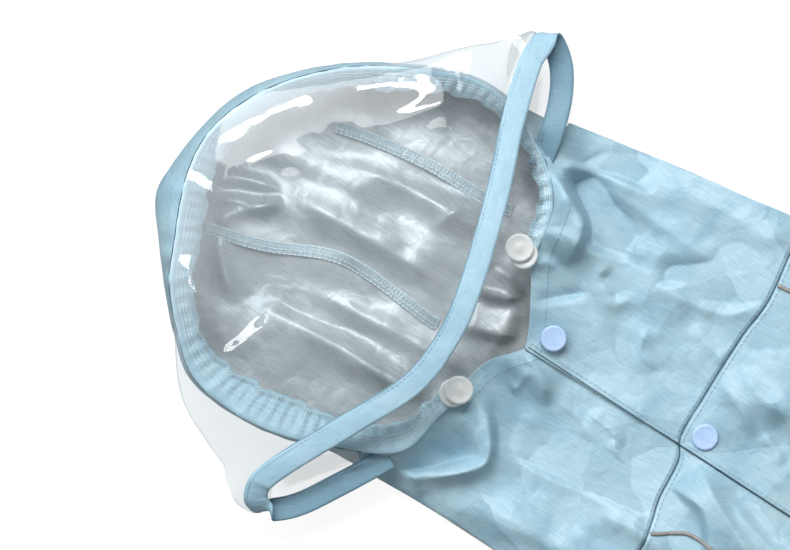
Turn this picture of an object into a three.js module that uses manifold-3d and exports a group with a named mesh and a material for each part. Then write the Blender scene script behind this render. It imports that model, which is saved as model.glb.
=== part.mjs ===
// A hooded dog raincoat lying on its back, with its clear visor folded over the open hood.
// Millimetres. X runs along the coat from the hood to the hem, Y across it and Z up from the table.
import * as THREE from "three";
import { mergeVertices } from "three/addons/utils/BufferGeometryUtils.js";
import Module from "manifold-3d";

const wasm = await Module();
wasm.setup();

// Driving sizes
const cloth = 1.2; // wall of every cloth piece
const film = 1.0; // wall of the clear visor
const seam = 0.3; // gap between pieces at a seam
const neckSeamX = -40; // the hood joins the body here
const frontHemX = 280;
const backHemX = 335;
const lapWidth = 18; // the left front lies over the right one by this much
const layer = cloth + seam;
const backMid = cloth / 2;
const frontMid = backMid + layer;
const snapPitch = 85;
const snapRadius = 6.2;
const rimSnapRadius = 6.7;
const ribbonWidth = 11;
const pipingWidth = 2.4;
const visorSteps = 72; // the ribbon's steps, which the film's edge shares
const gathers = 36; // ruffle waves along the elastic casing
const gatherHeight = 0.9;
const hoodCentre = { x: -85, y: -2 };
const centreSeamLeftY = 47; // the hood's middle panel lies between these two seams
const centreSeamRightY = -17;
const boxCentreX = 74.53; // places the middle of the coat's outline on the origin
const boxCentreY = 2.42;

const colour = {
  blueCloth: 0xa5c9de,
  binding: 0xa9d2e8,
  film: 0xeaf2f5,
  blueSnap: 0xbcd3f0,
  clearSnap: 0xe9eef0,
  piping: 0x9d9a96,
};

// The hood seen from its middle: its outline on the table, the lip of its opening and the casing's inner edge
const hoodRows = [
  { angle: 0, out: 116, lip: 85, lipZ: 12, casing: 78, drop: 1 },
  { angle: 17, out: 116, lip: 77, lipZ: 14, casing: 70, drop: 1 },
  { angle: 31, out: 115, lip: 75.5, lipZ: 18, casing: 67, drop: 2 },
  { angle: 47, out: 113, lip: 87, lipZ: 21, casing: 79.5, drop: 3 },
  { angle: 60, out: 111, lip: 89.5, lipZ: 23, casing: 84.5, drop: 5 },
  { angle: 69, out: 104, lip: 90, lipZ: 25, casing: 86, drop: 7 },
  { angle: 78, out: 97, lip: 92, lipZ: 28, casing: 86, drop: 9 },
  { angle: 90, out: 94.5, lip: 92, lipZ: 31, casing: 84, drop: 9 },
  { angle: 102, out: 91, lip: 88, lipZ: 33, casing: 78.5, drop: 9 },
  { angle: 115, out: 88, lip: 85, lipZ: 35, casing: 74.5, drop: 9 },
  { angle: 131, out: 88, lip: 84.5, lipZ: 37, casing: 76, drop: 10 },
  { angle: 146, out: 91, lip: 86, lipZ: 38, casing: 79, drop: 11 },
  { angle: 162, out: 96, lip: 89.5, lipZ: 38, casing: 80.5, drop: 11 },
  { angle: 178, out: 99, lip: 92.5, lipZ: 38, casing: 83, drop: 11 },
  { angle: 190, out: 103, lip: 92, lipZ: 38, casing: 81.5, drop: 10 },
  { angle: 198, out: 106, lip: 91, lipZ: 37, casing: 79.5, drop: 10 },
  { angle: 210, out: 101, lip: 91, lipZ: 36, casing: 80, drop: 9 },
  { angle: 222, out: 99, lip: 94.5, lipZ: 35, casing: 84, drop: 8 },
  { angle: 236, out: 101, lip: 97.5, lipZ: 33, casing: 88, drop: 8 },
  { angle: 248, out: 104.5, lip: 101.5, lipZ: 31, casing: 87.5, drop: 9 },
  { angle: 260, out: 101.5, lip: 99.5, lipZ: 30, casing: 83, drop: 9 },
  { angle: 275, out: 98, lip: 96, lipZ: 29, casing: 79, drop: 8 },
  { angle: 290, out: 96, lip: 93, lipZ: 27, casing: 79, drop: 6 },
  { angle: 300, out: 103, lip: 93.5, lipZ: 25, casing: 81, drop: 4 },
  { angle: 312, out: 112, lip: 94, lipZ: 22, casing: 81.5, drop: 3 },
  { angle: 323, out: 115, lip: 84.5, lipZ: 19, casing: 76, drop: 2 },
  { angle: 331, out: 116, lip: 80, lipZ: 17, casing: 71, drop: 2 },
  { angle: 340, out: 116, lip: 75, lipZ: 14, casing: 67, drop: 1 },
  { angle: 350, out: 116, lip: 75.5, lipZ: 12, casing: 68, drop: 1 },
  { angle: 360, out: 116, lip: 85, lipZ: 12, casing: 78, drop: 1 },
];
const casingStart = 33; // angles of the casing's two ends, at the rim snaps
const casingEnd = 329;
const neckAngleLeft = 60; // where the lip crosses the neck seam
const neckAngleRight = 298.5;

// The body's two side edges
const sideRows = [
  { x: -45, left: 97, right: -91 },
  { x: -25, left: 101, right: -90.5 },
  { x: 0, left: 106, right: -89 },
  { x: 25, left: 110.5, right: -88.5 },
  { x: 50, left: 114.5, right: -89 },
  { x: 75, left: 119, right: -93 },
  { x: 100, left: 122, right: -104 },
  { x: 150, left: 126, right: -121 },
  { x: 210, left: 129, right: -128 },
  { x: 280, left: 124, right: -124 },
  { x: 335, left: 112, right: -112 },
];

// The seam across the chest, from the right side to the left
const crossRows = [
  { y: -130, x: 99 },
  { y: -51, x: 97 },
  { y: -38, x: 94.5 },
  { y: -27, x: 91.5 },
  { y: -6, x: 89 },
  { y: 3, x: 84 },
  { y: 22, x: 83 },
  { y: 57, x: 82.5 },
  { y: 76, x: 84 },
  { y: 87, x: 83 },
  { y: 102, x: 80.5 },
  { y: 130, x: 78 },
];

// The seams with piping, down the front from the chest seam to the hem
const pipingRows = [
  { x: 76, left: 86.5, right: -48 },
  { x: 96, left: 89, right: -43 },
  { x: 113, left: 90, right: -33 },
  { x: 135, left: 90, right: -37 },
  { x: 170, left: 90, right: -58 },
  { x: 220, left: 89, right: -78 },
  { x: 280, left: 87, right: -85 },
];

// Soft folds in the front: a ridge of the given height and half width between two points
const frontFolds = [
  { x1: -14, y1: 66, x2: 22, y2: 38, height: 6, width: 7 },
  { x1: -34, y1: 84, x2: 12, y2: 92, height: 5, width: 6 },
  { x1: 10, y1: 62, x2: 70, y2: 86, height: 3.5, width: 6 },
  { x1: 22, y1: 30, x2: 74, y2: 34, height: 2.5, width: 6 },
  { x1: -6, y1: -10, x2: 18, y2: -12, height: 4, width: 5 },
  { x1: -10, y1: -44, x2: 14, y2: -52, height: 6, width: 6 },
  { x1: -14, y1: -80, x2: 10, y2: -60, height: 5, width: 6 },
  { x1: 24, y1: -46, x2: 78, y2: -40, height: 3, width: 6 },
  { x1: 34, y1: -72, x2: 84, y2: -70, height: 3, width: 7 },
  { x1: 94, y1: 30, x2: 150, y2: 52, height: 3.5, width: 8 },
  { x1: 104, y1: 76, x2: 190, y2: 66, height: 3, width: 8 },
  { x1: 108, y1: -20, x2: 176, y2: -26, height: 3.5, width: 8 },
  { x1: 190, y1: 40, x2: 262, y2: 58, height: 3, width: 9 },
  { x1: 186, y1: -44, x2: 258, y2: -52, height: 3, width: 9 },
];

// Soft folds on the hood's floor, which keep clear of the table
const hoodFolds = [
  { x1: -150, y1: 12, x2: -96, y2: 22, height: 7, width: 7 },
  { x1: -146, y1: -30, x2: -66, y2: -12, height: 5, width: 8 },
  { x1: -118, y1: -4, x2: -50, y2: 12, height: 4, width: 8 },
  { x1: -128, y1: 44, x2: -70, y2: 52, height: 5, width: 7 },
  { x1: -110, y1: -58, x2: -60, y2: -44, height: 5, width: 8 },
  { x1: -84, y1: 30, x2: -50, y2: 30, height: 4, width: 7 },
];

// The visor's ribbon, along its middle from its upper end at the rim to its lower one.
// level is 1 where the ribbon lies flat and 0 where it stands on edge, at its two turns. rimAngle is where the film
// leaves the hood's lip, and the fold columns push the film out between the lip and the ribbon.
const visorRows = [
  { at: 0.0, x: -38.5, y: 81, z: 24.8, level: 1, rimAngle: 66, foldX: 0, foldY: 0, foldZ: 0 },
  { at: 0.04, x: -44, y: 91, z: 22, level: 1, rimAngle: 68, foldX: 0, foldY: 0, foldZ: 0.5 },
  { at: 0.09, x: -50, y: 105.5, z: 18.5, level: 1, rimAngle: 72, foldX: 0, foldY: 0, foldZ: 1 },
  { at: 0.13, x: -57, y: 117, z: 18, level: 0.9, rimAngle: 77, foldX: -1, foldY: 2, foldZ: 1 },
  { at: 0.16, x: -64.5, y: 123.5, z: 20.5, level: 0.3, rimAngle: 80, foldX: -2, foldY: 2, foldZ: 1 },
  { at: 0.18, x: -70, y: 125.5, z: 24, level: 0, rimAngle: 82, foldX: -3, foldY: 3, foldZ: 0 },
  { at: 0.2, x: -72, y: 122.5, z: 28, level: 0.6, rimAngle: 85, foldX: -4, foldY: 5, foldZ: -1 },
  { at: 0.24, x: -71, y: 112, z: 30.5, level: 1, rimAngle: 90, foldX: -7, foldY: 10, foldZ: -2 },
  { at: 0.34, x: -62, y: 81.5, z: 38, level: 1, rimAngle: 104, foldX: -8, foldY: 19, foldZ: 0 },
  { at: 0.42, x: -50, y: 50, z: 46, level: 1, rimAngle: 124, foldX: -7, foldY: 10, foldZ: 5 },
  { at: 0.5, x: -38, y: 10, z: 51, level: 1, rimAngle: 165, foldX: 0, foldY: 0, foldZ: 8 },
  { at: 0.56, x: -33.5, y: -15, z: 51, level: 1, rimAngle: 196, foldX: 0, foldY: 0, foldZ: 8 },
  { at: 0.62, x: -35, y: -42, z: 48, level: 1, rimAngle: 222, foldX: -6, foldY: -12, foldZ: 5 },
  { at: 0.69, x: -48, y: -72, z: 41, level: 1, rimAngle: 240, foldX: -12, foldY: -24, foldZ: 1 },
  { at: 0.76, x: -63, y: -103, z: 34, level: 1, rimAngle: 257, foldX: -9, foldY: -20, foldZ: -2 },
  { at: 0.8, x: -69.3, y: -119, z: 29.5, level: 0.9, rimAngle: 266, foldX: -4, foldY: -14, foldZ: -3 },
  { at: 0.82, x: -69.3, y: -124.5, z: 27, level: 0.5, rimAngle: 269, foldX: -3, foldY: -10, foldZ: -2 },
  { at: 0.84, x: -67, y: -129, z: 24, level: 0, rimAngle: 274, foldX: -2, foldY: -7, foldZ: 0 },
  { at: 0.86, x: -62.3, y: -130.6, z: 20, level: 0, rimAngle: 278, foldX: -1, foldY: -4, foldZ: 1 },
  { at: 0.88, x: -57.5, y: -129, z: 17.5, level: 0.4, rimAngle: 281, foldX: 0, foldY: -2, foldZ: 2 },
  { at: 0.92, x: -48, y: -119, z: 16, level: 1, rimAngle: 290, foldX: 0, foldY: 0, foldZ: 1 },
  { at: 0.96, x: -38, y: -102, z: 18, level: 1, rimAngle: 296, foldX: 0, foldY: 0, foldZ: 0.5 },
  { at: 1.0, x: -28, y: -83.8, z: 25, level: 1, rimAngle: 300, foldX: 0, foldY: 0, foldZ: 0 },
];

// A table's columns at any place between its rows, on smooth curves through them
function between(rows, key, at) {
  const last = rows.length - 1;
  let i = 0;
  while (i < last - 1 && at > rows[i + 1][key]) i += 1;
  const [a, b] = [rows[i], rows[i + 1]];
  const before = rows[Math.max(i - 1, 0)];
  const after = rows[Math.min(i + 2, last)];
  const span = b[key] - a[key];
  const t = THREE.MathUtils.clamp((at - a[key]) / span, 0, 1);
  const found = {};
  for (const name of Object.keys(a)) {
    const slopeA = ((b[name] - before[name]) / (b[key] - before[key])) * span;
    const slopeB = ((after[name] - a[name]) / (after[key] - a[key])) * span;
    const step = b[name] - a[name];
    found[name] =
      a[name] + slopeA * t + (3 * step - 2 * slopeA - slopeB) * t ** 2 + (slopeA + slopeB - 2 * step) * t ** 3;
  }
  return found;
}

const smoothStep = (low, high, value) => THREE.MathUtils.smoothstep(value, low, high);
const mix = THREE.MathUtils.lerp;

function polar(angle, radius, z) {
  const turn = THREE.MathUtils.degToRad(angle);
  return new THREE.Vector3(hoodCentre.x + radius * Math.cos(turn), hoodCentre.y + radius * Math.sin(turn), z);
}

// The height that a table of folds adds at a point
function foldHeight(folds, x, y) {
  let height = 0;
  for (const fold of folds) {
    const start = new THREE.Vector2(fold.x1, fold.y1);
    const run = new THREE.Vector2(fold.x2, fold.y2).sub(start);
    const place = new THREE.Vector2(x, y).sub(start);
    const along = place.dot(run) / run.lengthSq();
    const off = place.cross(run) / run.length();
    const fade = smoothStep(-0.25, 0.2, along) * (1 - smoothStep(0.8, 1.25, along));
    height += fold.height * fade * Math.exp(-((off / fold.width) ** 2));
  }
  return height;
}

// A closed wall of even thickness over a surface, point(u, v), with u and v from 0 to 1.
// On a ring the two ends of u meet, and a pole closes the ring at v = 0.
function wallGeometry(point, columns, rows, thickness, { ring = false, pole = false } = {}) {
  const step = 1e-3;
  const place = (u) => (ring ? (u + 1) % 1 : THREE.MathUtils.clamp(u, 0, 1));
  const sides = [[], []];
  for (let j = 0; j <= rows; j += 1) {
    for (let i = 0; i <= columns; i += 1) {
      const [u, v] = [place(i / columns), j / rows];
      const [v0, v1] = [Math.max(v - step, 0), Math.min(v + step, 1)];
      const across = point(place(u + step), v).sub(point(place(u - step), v));
      const along = point(u, v1).sub(point(u, v0));
      const normal = pole && j === 0 ? new THREE.Vector3(0, 0, 1) : across.cross(along).normalize();
      const middle = point(u, v);
      sides[0].push(middle.clone().addScaledVector(normal, thickness / 2));
      sides[1].push(middle.clone().addScaledVector(normal, -thickness / 2));
    }
  }
  const wide = columns + 1;
  const half = wide * (rows + 1);
  const positions = sides.flat().flatMap((p) => [p.x, p.y, p.z]);
  const faces = [];
  const quad = (a, b, c, d) => faces.push(a, b, c, a, c, d);
  for (let j = 0; j < rows; j += 1) {
    for (let i = 0; i < columns; i += 1) {
      const a = j * wide + i;
      quad(a, a + 1, a + 1 + wide, a + wide);
      quad(half + a, half + a + wide, half + a + 1 + wide, half + a + 1);
    }
  }
  for (let i = 0; i < columns; i += 1) {
    const top = rows * wide + i;
    quad(i, half + i, half + i + 1, i + 1);
    quad(top, top + 1, half + top + 1, half + top);
  }
  for (let j = 0; j < rows && !ring; j += 1) {
    const [left, right] = [j * wide, j * wide + columns];
    quad(left, left + wide, half + left + wide, half + left);
    quad(right, half + right, half + right + wide, right + wide);
  }
  return closedGeometry(positions, faces);
}

// Merges equal points and drops the faces that this closes up, such as those round a pole
function closedGeometry(positions, faces) {
  const loose = new THREE.BufferGeometry();
  loose.setAttribute("position", new THREE.Float32BufferAttribute(positions, 3));
  loose.setIndex(faces);
  const merged = mergeVertices(loose, 1e-3);
  const index = [...merged.index.array];
  const kept = [];
  for (let i = 0; i < index.length; i += 3) {
    const [a, b, c] = index.slice(i, i + 3);
    if (a !== b && b !== c && c !== a) kept.push(a, b, c);
  }
  merged.setIndex(kept);
  return merged;
}

function solidOf(geometry) {
  const bare = geometry.clone();
  bare.deleteAttribute("normal");
  bare.deleteAttribute("uv");
  const merged = mergeVertices(bare, 1e-4);
  return new wasm.Manifold(
    new wasm.Mesh({
      numProp: 3,
      vertProperties: new Float32Array(merged.attributes.position.array),
      triVerts: new Uint32Array(merged.index.array),
    }),
  );
}

function geometryOf(solid) {
  const mesh = solid.getMesh();
  const geometry = new THREE.BufferGeometry();
  geometry.setAttribute("position", new THREE.BufferAttribute(new Float32Array(mesh.vertProperties), 3));
  geometry.setIndex(new THREE.BufferAttribute(new Uint32Array(mesh.triVerts), 1));
  return geometry;
}

// A block between two corners, used to cut one panel out of a shell
function block(low, high) {
  const size = new THREE.Vector3(...high).sub(new THREE.Vector3(...low));
  const geometry = new THREE.BoxGeometry(size.x, size.y, size.z);
  geometry.translate((low[0] + high[0]) / 2, (low[1] + high[1]) / 2, (low[2] + high[2]) / 2);
  return solidOf(geometry);
}

const materials = {
  blueCloth: new THREE.MeshStandardMaterial({ color: colour.blueCloth, roughness: 0.45, metalness: 0 }),
  binding: new THREE.MeshStandardMaterial({ color: colour.binding, roughness: 0.6, metalness: 0 }),
  film: new THREE.MeshStandardMaterial({
    color: colour.film,
    roughness: 0.08,
    metalness: 0,
    transparent: true,
    opacity: 0.3,
  }),
  blueSnap: new THREE.MeshStandardMaterial({ color: colour.blueSnap, roughness: 0.4, metalness: 0 }),
  clearSnap: new THREE.MeshStandardMaterial({ color: colour.clearSnap, roughness: 0.3, metalness: 0 }),
  piping: new THREE.MeshStandardMaterial({ color: colour.piping, roughness: 0.5, metalness: 0 }),
};

const coat = new THREE.Group();
coat.position.set(-boxCentreX, -boxCentreY, 0);

function add(name, geometry, material) {
  const mesh = new THREE.Mesh(geometry, material);
  mesh.name = name;
  coat.add(mesh);
  return mesh;
}

// The hood: a soft bowl from the middle of its floor out to its outline and up to just under its lip
const floorShare = 0.45;
const floorInset = 7; // the flat floor ends this far inside the outline
const bulge = 1.3; // how far the side swells past the outline
const bowlStep = 0.5; // how far the wall stops inside the lip
const bowlDrop = 2.9; // and below it
const foldsEndX = -62; // from here to the neck the floor's folds die out
function hoodPoint(u, v) {
  const angle = 360 * (1 - u);
  const row = between(hoodRows, "angle", angle);
  const floorEdge = row.out - floorInset;
  if (v <= floorShare) {
    const radius = (floorEdge * v) / floorShare;
    const place = polar(angle, radius, backMid);
    const calm = 1 - smoothStep(0.8, 1, v / floorShare);
    const nearNeck = 1 - smoothStep(foldsEndX, neckSeamX, place.x);
    place.z += foldHeight(hoodFolds, place.x, place.y) * calm * nearNeck;
    return place;
  }
  const rise = (v - floorShare) / (1 - floorShare);
  const top = { radius: row.lip - bowlStep, z: row.lipZ - bowlDrop };
  const corner = { radius: row.out + bulge, z: backMid };
  const side = { radius: row.out + bulge, z: top.z / 2 };
  const [a, b, c, d] = [(1 - rise) ** 3, 3 * (1 - rise) ** 2 * rise, 3 * (1 - rise) * rise ** 2, rise ** 3];
  const radius = a * floorEdge + b * corner.radius + c * side.radius + d * top.radius;
  return polar(angle, radius, a * backMid + b * corner.z + c * side.z + d * top.z);
}

function addHood() {
  const shell = solidOf(wallGeometry(hoodPoint, 56, 9, cloth, { ring: true, pole: true }));
  const far = 300; // past the coat on every side
  const neck = neckSeamX - seam / 2;
  const parts = {
    hood_side_left: [centreSeamLeftY + seam / 2, far],
    hood_centre: [centreSeamRightY + seam / 2, centreSeamLeftY - seam / 2],
    hood_side_right: [-far, centreSeamRightY - seam / 2],
  };
  for (const [name, [low, high]] of Object.entries(parts)) {
    const panel = shell.intersect(block([-far, low, -far], [neck, high, far]));
    add(name, geometryOf(panel), materials.blueCloth);
  }
}

// The elastic casing: a gathered band from the lip into the hood, from one rim snap round to the other
function casingPoint(u, v) {
  const angle = mix(casingEnd, casingStart, u);
  const row = between(hoodRows, "angle", angle);
  const radius = mix(row.lip + 0.4, row.casing, v);
  const wave = Math.sin(u * gathers * 2 * Math.PI) * gatherHeight * v ** 1.5;
  return polar(angle, radius, row.lipZ - row.drop * v ** 1.4 + wave);
}

const turnSide = new THREE.Vector3(0.9, 0.43, 0); // across the ribbon at its two turns

// The clear visor runs from the lip, out over its fold and back up to the stitched edge of the ribbon
function ribbonFrame(at) {
  const row = between(visorRows, "at", at);
  const before = between(visorRows, "at", Math.max(at - 0.002, 0));
  const after = between(visorRows, "at", Math.min(at + 0.002, 1));
  const middle = new THREE.Vector3(row.x, row.y, row.z);
  const tangent = new THREE.Vector3(after.x - before.x, after.y - before.y, after.z - before.z).normalize();
  const sideways = new THREE.Vector3(Math.abs(tangent.y), -Math.sign(tangent.y) * tangent.x, 0).normalize();
  const freeSide = turnSide.clone().lerp(sideways, THREE.MathUtils.clamp(row.level, 0, 1));
  freeSide.addScaledVector(tangent, -freeSide.dot(tangent)).normalize();
  return { row, middle, freeSide };
}

const filmReach = 8; // how far the film runs on straight from the ribbon
function filmPoint(u, v) {
  const { row, middle, freeSide } = ribbonFrame(mix(1, visorSteps - 1, u) / visorSteps);
  const rim = between(hoodRows, "angle", row.rimAngle);
  const start = polar(row.rimAngle, rim.lip + 0.5, rim.lipZ + cloth / 2 + film / 2 + 3 * seam);
  const end = middle.clone().addScaledVector(freeSide, -(ribbonWidth / 2 + 2 * seam));
  const fold = new THREE.Vector3(row.foldX, row.foldY, row.foldZ).multiplyScalar(4 / 3);
  const reach = Math.min(start.distanceTo(end) / 3, filmReach);
  const low = start.clone().lerp(end, 0.2).add(fold);
  const high = end.clone().addScaledVector(freeSide, -reach).add(fold);
  return new THREE.CubicBezierCurve3(start, low, high, end).getPoint(v);
}

function ribbonPoint(u, v) {
  const { middle, freeSide } = ribbonFrame(u);
  return middle.addScaledVector(freeSide, mix(-0.5, 0.5, v) * ribbonWidth);
}

// The body's upper layer: high along the rim, low by the sides and flat past the chest
const edgeRound = 16; // the layer rounds down to the back over this much of its sides
const rimFall = 30; // and falls from the rim over about this far
function frontHeight(x, y) {
  const side = between(sideRows, "x", x);
  const toEdge = y > 0 ? side.left - y : y - side.right;
  const round = Math.sqrt(THREE.MathUtils.clamp(toEdge / edgeRound, 0, 1));
  const dx = x - hoodCentre.x;
  const dy = y - hoodCentre.y;
  const angle = (THREE.MathUtils.radToDeg(Math.atan2(dy, dx)) + 360) % 360;
  const rim = between(hoodRows, "angle", angle);
  const past = Math.max(Math.hypot(dx, dy) - rim.lip, 0);
  const rimRise = (rim.lipZ - bowlDrop - frontMid) * Math.exp(-((past / rimFall) ** 1.3));
  return frontMid + (rimRise + foldHeight(frontFolds, x, y)) * round;
}

// The yokes reach from the rim and the neck seam to the seam across the chest. The right one goes on under the left.
const rimShare = 0.82;
const lapAngle = 12;
function yokeRim(side, v) {
  const neckAngle = side > 0 ? neckAngleLeft : neckAngleRight;
  const closed = side > 0 ? 0 : 360 + lapAngle;
  if (v <= rimShare) {
    const angle = mix(closed, neckAngle, v / rimShare) % 360;
    return polar(angle, between(hoodRows, "angle", angle).lip, 0);
  }
  const lip = polar(neckAngle, between(hoodRows, "angle", neckAngle).lip, 0);
  const edge = between(sideRows, "x", neckSeamX);
  const start = new THREE.Vector3(neckSeamX + seam / 2, lip.y, 0);
  const end = new THREE.Vector3(neckSeamX + seam / 2, side > 0 ? edge.left : edge.right, 0);
  return start.lerp(end, (v - rimShare) / (1 - rimShare));
}

function yokePoint(side, u, v) {
  const rim = yokeRim(side, v);
  const edge = between(sideRows, "x", 80);
  const seamY = side > 0 ? mix(0, edge.left, v) : mix(lapWidth, edge.right, v);
  const seamX = between(crossRows, "y", seamY).x - seam;
  const place = new THREE.Vector3(mix(rim.x, seamX, u), mix(rim.y, seamY, u), 0);
  const outer = between(sideRows, "x", place.x);
  place.y = mix(place.y, side > 0 ? outer.left : outer.right, v ** 12);
  place.z = frontHeight(place.x, place.y) + lapLift(side, place.y);
  return place;
}

// How far the left front is lifted to lie over the right one
const lapHeight = layer + seam;
const lapFade = 13;
function lapLift(side, y) {
  return side > 0 ? lapHeight * (1 - smoothStep(lapWidth + 1, lapWidth + 1 + lapFade, y)) : 0;
}

// A point of the lower front, where acrossAt(x) is how far out it lies on its way from the chest seam to the hem
function lowerPoint(side, u, acrossAt) {
  let x = mix(90, frontHemX, u);
  let y = acrossAt(x);
  for (let i = 0; i < 4; i += 1) {
    x = mix(between(crossRows, "y", y).x + seam, frontHemX, u);
    y = acrossAt(x);
  }
  return new THREE.Vector3(x, y, frontHeight(x, y) + lapLift(side, y));
}

// The lower fronts lie between the lap and the piping, and the side panels between the piping and the side edge
function lowerFrontPoint(side, u, v) {
  const inner = side > 0 ? 0 : lapWidth;
  return lowerPoint(side, u, (x) => {
    const line = between(pipingRows, "x", x);
    return mix(inner, side > 0 ? line.left - seam / 2 : line.right + seam / 2, v);
  });
}

function sidePanelPoint(side, u, v) {
  return lowerPoint(side, u, (x) => {
    const line = between(pipingRows, "x", x);
    const edge = between(sideRows, "x", x);
    return side > 0 ? mix(line.left + seam / 2, edge.left, v) : mix(line.right - seam / 2, edge.right, v);
  });
}

function pipingPoint(side, u, v) {
  const start = pipingRows[0];
  const first = between(crossRows, "y", side > 0 ? start.left : start.right).x + 1;
  const x = mix(first, frontHemX, u);
  const line = between(pipingRows, "x", x);
  const middle = side > 0 ? line.left : line.right;
  const y = middle + mix(-0.5, 0.5, v) * pipingWidth;
  return new THREE.Vector3(x, y, frontHeight(x, y) + cloth + 2 * seam);
}

function backPoint(u, v) {
  const x = mix(neckSeamX + seam / 2, backHemX, u);
  const edge = between(sideRows, "x", x);
  return new THREE.Vector3(x, mix(edge.right, edge.left, v), backMid);
}

// A sleeve: a flat tube beside the body, from the side edge to its cuff
const sleeve = { x: 138, rootWidth: 72, cuffWidth: 58, length: 66, forward: 16, inside: 1.6 };
function sleevePoint(side, u, v) {
  const turn = u * 2 * Math.PI;
  const width = mix(sleeve.rootWidth, sleeve.cuffWidth, v);
  const x = sleeve.x - sleeve.forward * v + (Math.cos(turn) * width) / 2;
  const edge = between(sideRows, "x", x);
  const root = side > 0 ? edge.left + 2 * seam : edge.right - 2 * seam;
  const lift = sleeve.inside / 2 + cloth / 2;
  const flatness = Math.min(Math.abs(Math.sin(turn)) * 6, 1);
  const z = cloth + sleeve.inside / 2 + Math.sign(Math.sin(turn)) * lift * flatness;
  return new THREE.Vector3(x, root + side * sleeve.length * v, z);
}

// A snap's domed cap, drawn as half a section and turned about its middle
function capGeometry(radius, height) {
  const profile = [
    new THREE.Vector2(0, 0),
    new THREE.Vector2(radius - 0.3, 0),
    new THREE.Vector2(radius, 0.4),
    new THREE.Vector2(radius - 0.2, height * 0.6),
    new THREE.Vector2(radius - 1.4, height),
    new THREE.Vector2(0, height),
  ];
  const cap = new THREE.LatheGeometry(profile, 18);
  cap.rotateX(Math.PI / 2);
  return cap;
}

function addSnaps() {
  const capHeight = 2.4;
  const first = { x: 8.7, y: 9.3 };
  for (let i = 0; i < 4; i += 1) {
    const x = first.x + i * snapPitch;
    const cap = add(`placket_snap_${i + 1}`, capGeometry(snapRadius, capHeight), materials.blueSnap);
    cap.position.set(x, first.y, highestUnder(x, first.y, snapRadius) + lapHeight + cloth / 2 + seam);
  }
  const rimSnaps = {
    left: { x: -24.5, y: 34.5, z: 19.6, overX: -3.4, overY: 1.6 },
    right: { x: -17, y: -37.5, z: 18.6, overX: 1.6, overY: 2.6 },
  };
  for (const [name, snap] of Object.entries(rimSnaps)) {
    const socket = add(`rim_snap_${name}_socket`, capGeometry(rimSnapRadius, 2), materials.clearSnap);
    socket.position.set(snap.x, snap.y, snap.z);
    const cap = add(`rim_snap_${name}_cap`, capGeometry(rimSnapRadius, 2), materials.clearSnap);
    cap.position.set(snap.x + snap.overX, snap.y + snap.overY, snap.z + 2 + seam);
  }
}

// The front's highest point under a disc
function highestUnder(x, y, radius) {
  let top = 0;
  for (let i = 0; i < 12; i += 1) {
    const turn = (i * Math.PI) / 6;
    top = Math.max(top, frontHeight(x + radius * Math.cos(turn), y + radius * Math.sin(turn)));
  }
  return Math.max(top, frontHeight(x, y));
}

addHood();
add("rim_casing", wallGeometry(casingPoint, gathers * 4, 2, cloth), materials.blueCloth);
add("visor_film", wallGeometry(filmPoint, visorSteps - 2, 5, film), materials.film);
add("visor_binding", wallGeometry(ribbonPoint, visorSteps, 1, cloth), materials.binding);
for (const [name, side] of [["left", 1], ["right", -1]]) {
  const facing = (point) => (side > 0 ? (u, v) => point(u, v) : (u, v) => point(u, 1 - v));
  add(`yoke_${name}`, wallGeometry(facing((u, v) => yokePoint(side, u, v)), 16, 15, cloth), materials.blueCloth);
  add(
    `front_${name}`,
    wallGeometry(facing((u, v) => lowerFrontPoint(side, u, v)), 15, 8, cloth),
    materials.blueCloth,
  );
  add(`side_${name}`, wallGeometry(facing((u, v) => sidePanelPoint(side, u, v)), 15, 3, cloth), materials.blueCloth);
  add(`piping_${name}`, wallGeometry(facing((u, v) => pipingPoint(side, u, v)), 24, 1, 0.9), materials.piping);
  add(
    `sleeve_${name}`,
    wallGeometry((u, v) => sleevePoint(side, side > 0 ? 1 - u : u, v), 24, 2, cloth, { ring: true }),
    materials.blueCloth,
  );
}
add("back_panel", wallGeometry(backPoint, 18, 4, cloth), materials.blueCloth);
addSnaps();

export default coat;
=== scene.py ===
# A hooded dog raincoat lying on its back, with its clear visor folded over the open hood.
# The tables and surfaces are in millimetres on the coat, as in the part's source.
# They go to metres as each piece is made.
import math

import bmesh
import bpy
import numpy as np
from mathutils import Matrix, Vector
from mathutils.bvhtree import BVHTree


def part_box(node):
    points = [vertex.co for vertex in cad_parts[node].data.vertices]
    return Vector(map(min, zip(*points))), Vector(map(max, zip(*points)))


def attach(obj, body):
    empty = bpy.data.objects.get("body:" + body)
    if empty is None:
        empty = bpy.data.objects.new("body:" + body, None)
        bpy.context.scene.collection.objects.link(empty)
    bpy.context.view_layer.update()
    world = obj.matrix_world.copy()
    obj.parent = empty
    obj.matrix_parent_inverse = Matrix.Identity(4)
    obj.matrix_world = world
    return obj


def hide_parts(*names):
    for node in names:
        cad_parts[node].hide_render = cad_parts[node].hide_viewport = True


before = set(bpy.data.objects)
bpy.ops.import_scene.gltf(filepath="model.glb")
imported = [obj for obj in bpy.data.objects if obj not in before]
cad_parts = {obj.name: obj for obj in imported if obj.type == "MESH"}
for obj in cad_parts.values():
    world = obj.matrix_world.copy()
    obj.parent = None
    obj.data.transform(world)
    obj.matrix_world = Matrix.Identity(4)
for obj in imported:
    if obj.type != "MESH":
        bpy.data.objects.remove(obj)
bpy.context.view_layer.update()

# Sizes shared with the solids
CLOTH = 1.2
FILM = 1.0
SEAM = 0.3
NECK_SEAM_X = -40
FRONT_HEM_X = 280
BACK_HEM_X = 335
LAP_WIDTH = 18
BACK_MID = CLOTH / 2
FRONT_MID = BACK_MID + CLOTH + SEAM
LAP_HEIGHT = CLOTH + 2 * SEAM
RIBBON_WIDTH = 11
HOOD_CENTRE = np.array([-85.0, -2.0])
BOX_CENTRE = np.array([74.53, 2.42, 0.0])
CASING_START = 33
CASING_END = 329
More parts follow.
